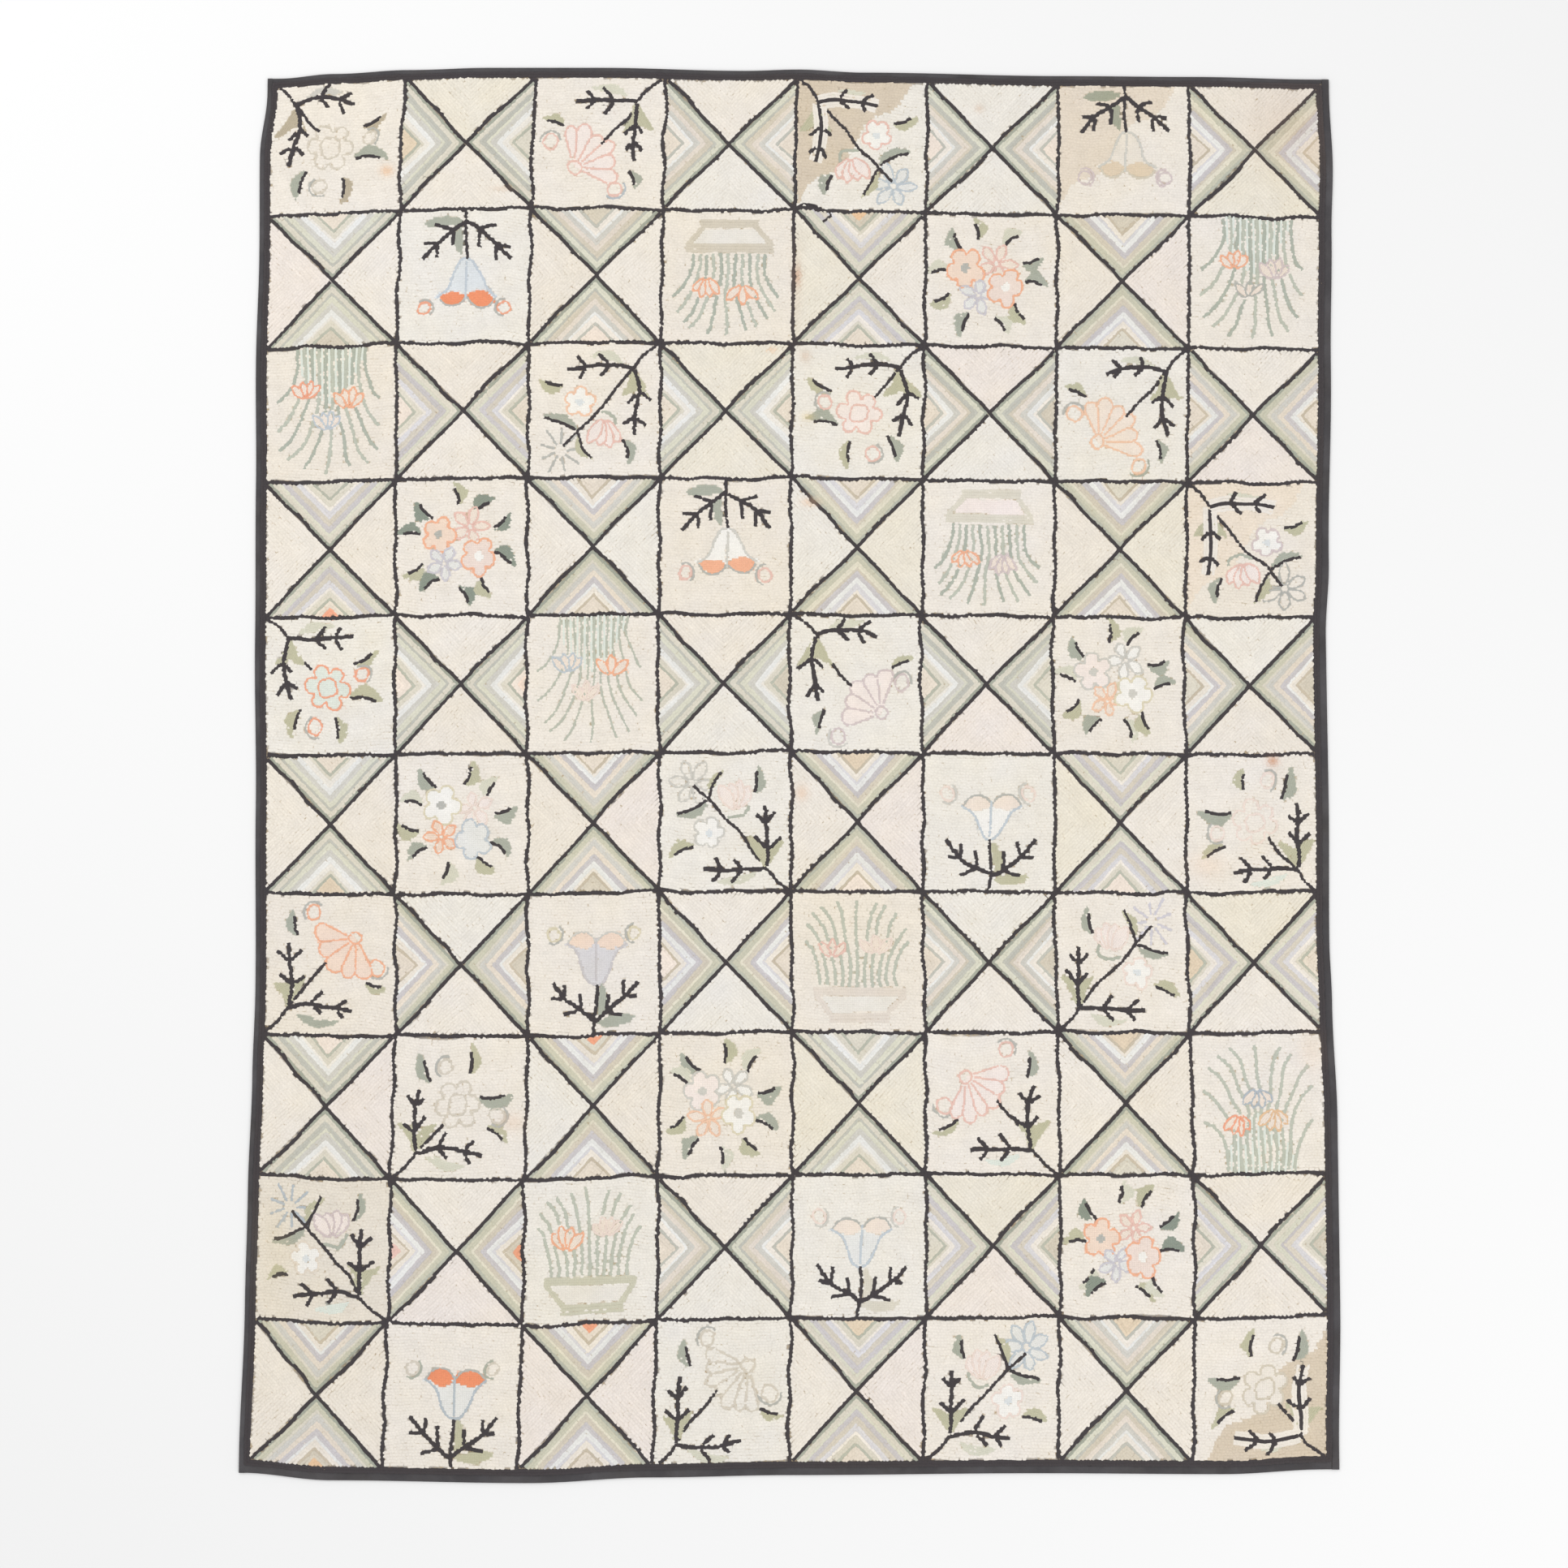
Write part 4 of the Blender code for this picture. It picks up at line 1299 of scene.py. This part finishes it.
def makeTape(side, start, end):
    section = tapeSection(tapeWidths[side])
    steps = max(2, round((end - start) / tapeShape["step"]))
    along = np.linspace(start, end, steps + 1)[:, None]
    inward = np.broadcast_to(section[:, 0], (steps + 1, len(section))).copy()
    height = np.broadcast_to(section[:, 1], inward.shape).copy()
    share = inward / tapeWidths[side]
    upper = height > tapeShape["upperFrom"]
    phase = tapePhases[side]
    slow, quick = tapeShape["driftWaves"]
    wave = np.sin(along * slow + phase) + 0.6 * np.sin(along * quick + 2 * phase)
    inward += share * tapeShape["drift"] * wave * upper
    quick, slow = tapeShape["puckerWaves"]
    height += upper * share * tapeShape["pucker"] * np.sin(along * quick + phase + 1.5 * np.sin(along * slow))
    along = np.broadcast_to(along, inward.shape)
    half = halfWide if side in ("left", "right") else halfHigh
    across = inward - half if side in ("left", "bottom") else half - inward
    x, y = lieUnevenly(*((across, along) if side in ("left", "right") else (along, across)))
    index = np.arange(inward.size).reshape(inward.shape)
    following = np.roll(index, -1, 1)
    corners = (index[:-1], index[1:], following[1:], following[:-1])
    quads = np.column_stack([corner.ravel() for corner in corners])
    ends = [index[0].tolist(), index[-1][::-1].tolist()]
    places = np.stack((x, y, height), -1).reshape(-1, 3)
    return closedPiece("tape_" + side, places, quads.tolist() + ends, tapeCotton, smoothSides=True)


# The two long strips run past the ends of the short ones
tapes = {}
for side in sides:
    if side in ("left", "right"):
        tapes[side] = makeTape(side, -halfHigh, halfHigh)
    else:
        tapes[side] = makeTape(side, pileLow[0] + tapeShape["endGap"], pileHigh[0] - tapeShape["endGap"])
print("tape:", sum(len(piece.data.polygons) for piece in tapes.values()), "faces")


# Whip stitches of dark thread that hold the inner edge of the tape
stitchShape = {"Length": 0.0042, "Width": 0.0007, "Height": 0.0007, "Lean": 0.12, "Seed": 9}
stitchRows = {"every": 0.0095, "fromEnd": 0.01, "overEdge": 0.0006, "height": 0.0046, "slant": 0.5,
              "strayAlong": 0.0008, "strayTurn": 0.12}
stitchTurns = {"left": 0.0, "right": math.pi, "bottom": math.pi / 2, "top": -math.pi / 2}
stitchTree = buildSpreadTree("whipStitches", stitchOfThread)


def makeStitches():
    places, turns = [], []
    for side in sides:
        axis = 1 if side in ("left", "right") else 0
        lowSide = side in ("left", "bottom")
        start, end = pileLow[axis] + stitchRows["fromEnd"], pileHigh[axis] - stitchRows["fromEnd"]
        along = np.arange(start, end, stitchRows["every"])
        along = along + random.normal(0, stitchRows["strayAlong"], len(along))
        edge = (pileLow if lowSide else pileHigh)[1 - axis]
        across = np.full(len(along), edge + (-stitchRows["overEdge"] if lowSide else stitchRows["overEdge"]))
        x, y = lieUnevenly(*((across, along) if axis else (along, across)))
        places.append(np.column_stack((x, y, np.full(len(x), stitchRows["height"]))))
        stray = random.normal(0, stitchRows["strayTurn"], len(along))
        turns.append(stitchTurns[side] + stitchRows["slant"] + stray)
    places, turns = np.vstack(places), np.concatenate(turns)
    plain = np.ones(len(turns))
    piece = pointPiece("stitches", places, {"turn": turns, "fat": plain, "long": plain, "raised": plain * 0})
    return spreadOver(piece, stitchTree, {**stitchShape, "Material": tapeCotton})


stitches = makeStitches()
print("stitches:", len(stitches.data.polygons), "faces")


# Floor, light and camera. Angles in degrees.
stageSettings = {"floorSize": 90.0, "floorTone": 0.80, "floorLevel": -0.0003, "world": 0.86}
lamps = {
    "keyLight": {"place": (-3.4, 3.0, 4.6), "size": 3.2, "power": 106.0},
    "fillLight": {"place": (3.6, -2.6, 4.6), "size": 4.0, "power": 98.0},
}
cameraSettings = {"tilt": 3.4, "away": 4.80, "aside": -0.0145, "back": 0.0165, "lens": 50.0, "sensor": 36.0,
                  "shift": (-6 / 1932, -18 / 1932)}


def makeFloor():
    half, level = stageSettings["floorSize"] / 2, stageSettings["floorLevel"]
    mesh = bpy.data.meshes.new("floor")
    corners = [(-half, -half, level), (half, -half, level), (half, half, level), (-half, half, level)]
    mesh.from_pydata(corners, [], [(0, 1, 2, 3)])
    floor = addObject("floor", mesh)
    material = bpy.data.materials.new("paleFloor")
    material.use_nodes = True
    tone = stageSettings["floorTone"]
    setInputs(material.node_tree, material.node_tree.nodes["Principled BSDF"],
              {"Base Color": (tone, tone, tone, 1.0), "Roughness": 1.0, "Specular IOR Level": 0.0})
    mesh.materials.append(material)


# A square lamp that looks at the origin
def addLamp(name, place, size, power):
    data = bpy.data.lights.new(name, "AREA")
    data.shape, data.size, data.energy = "SQUARE", size, power
    lamp = addObject(name, data)
    lamp.location = place
    across, along, up = place
    lamp.rotation_euler = (math.atan2(math.hypot(across, along), up), 0.0, math.atan2(across, -along))


makeFloor()
for name, look in lamps.items():
    addLamp(name, **look)
world = bpy.data.worlds.new("softRoom")
world.use_nodes = True
world.node_tree.nodes["Background"].inputs["Color"].default_value = (1.0, 1.0, 1.0, 1.0)
world.node_tree.nodes["Background"].inputs["Strength"].default_value = stageSettings["world"]
bpy.context.scene.world = world
bpy.context.scene.view_settings.view_transform = "Standard"

cameraData = bpy.data.cameras.new("camera")
camera = addObject("camera", cameraData)
tilt, away = math.radians(cameraSettings["tilt"]), cameraSettings["away"]
camera.location = (cameraSettings["aside"], -away * math.sin(tilt) - cameraSettings["back"],
                   away * math.cos(tilt))
camera.rotation_euler = (tilt, 0.0, 0.0)
cameraData.lens, cameraData.sensor_width = cameraSettings["lens"], cameraSettings["sensor"]
cameraData.shift_x, cameraData.shift_y = cameraSettings["shift"]
bpy.context.scene.camera = camera


# Everything rides on the one body; each strip and the sheet stand for their solids
pieces = [foundation, stitches] + pileBands + list(tapes.values())
for piece in pieces:
    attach(piece, "root")
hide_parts("rug_field")
for side, piece in tapes.items():
    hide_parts("binding_" + side)
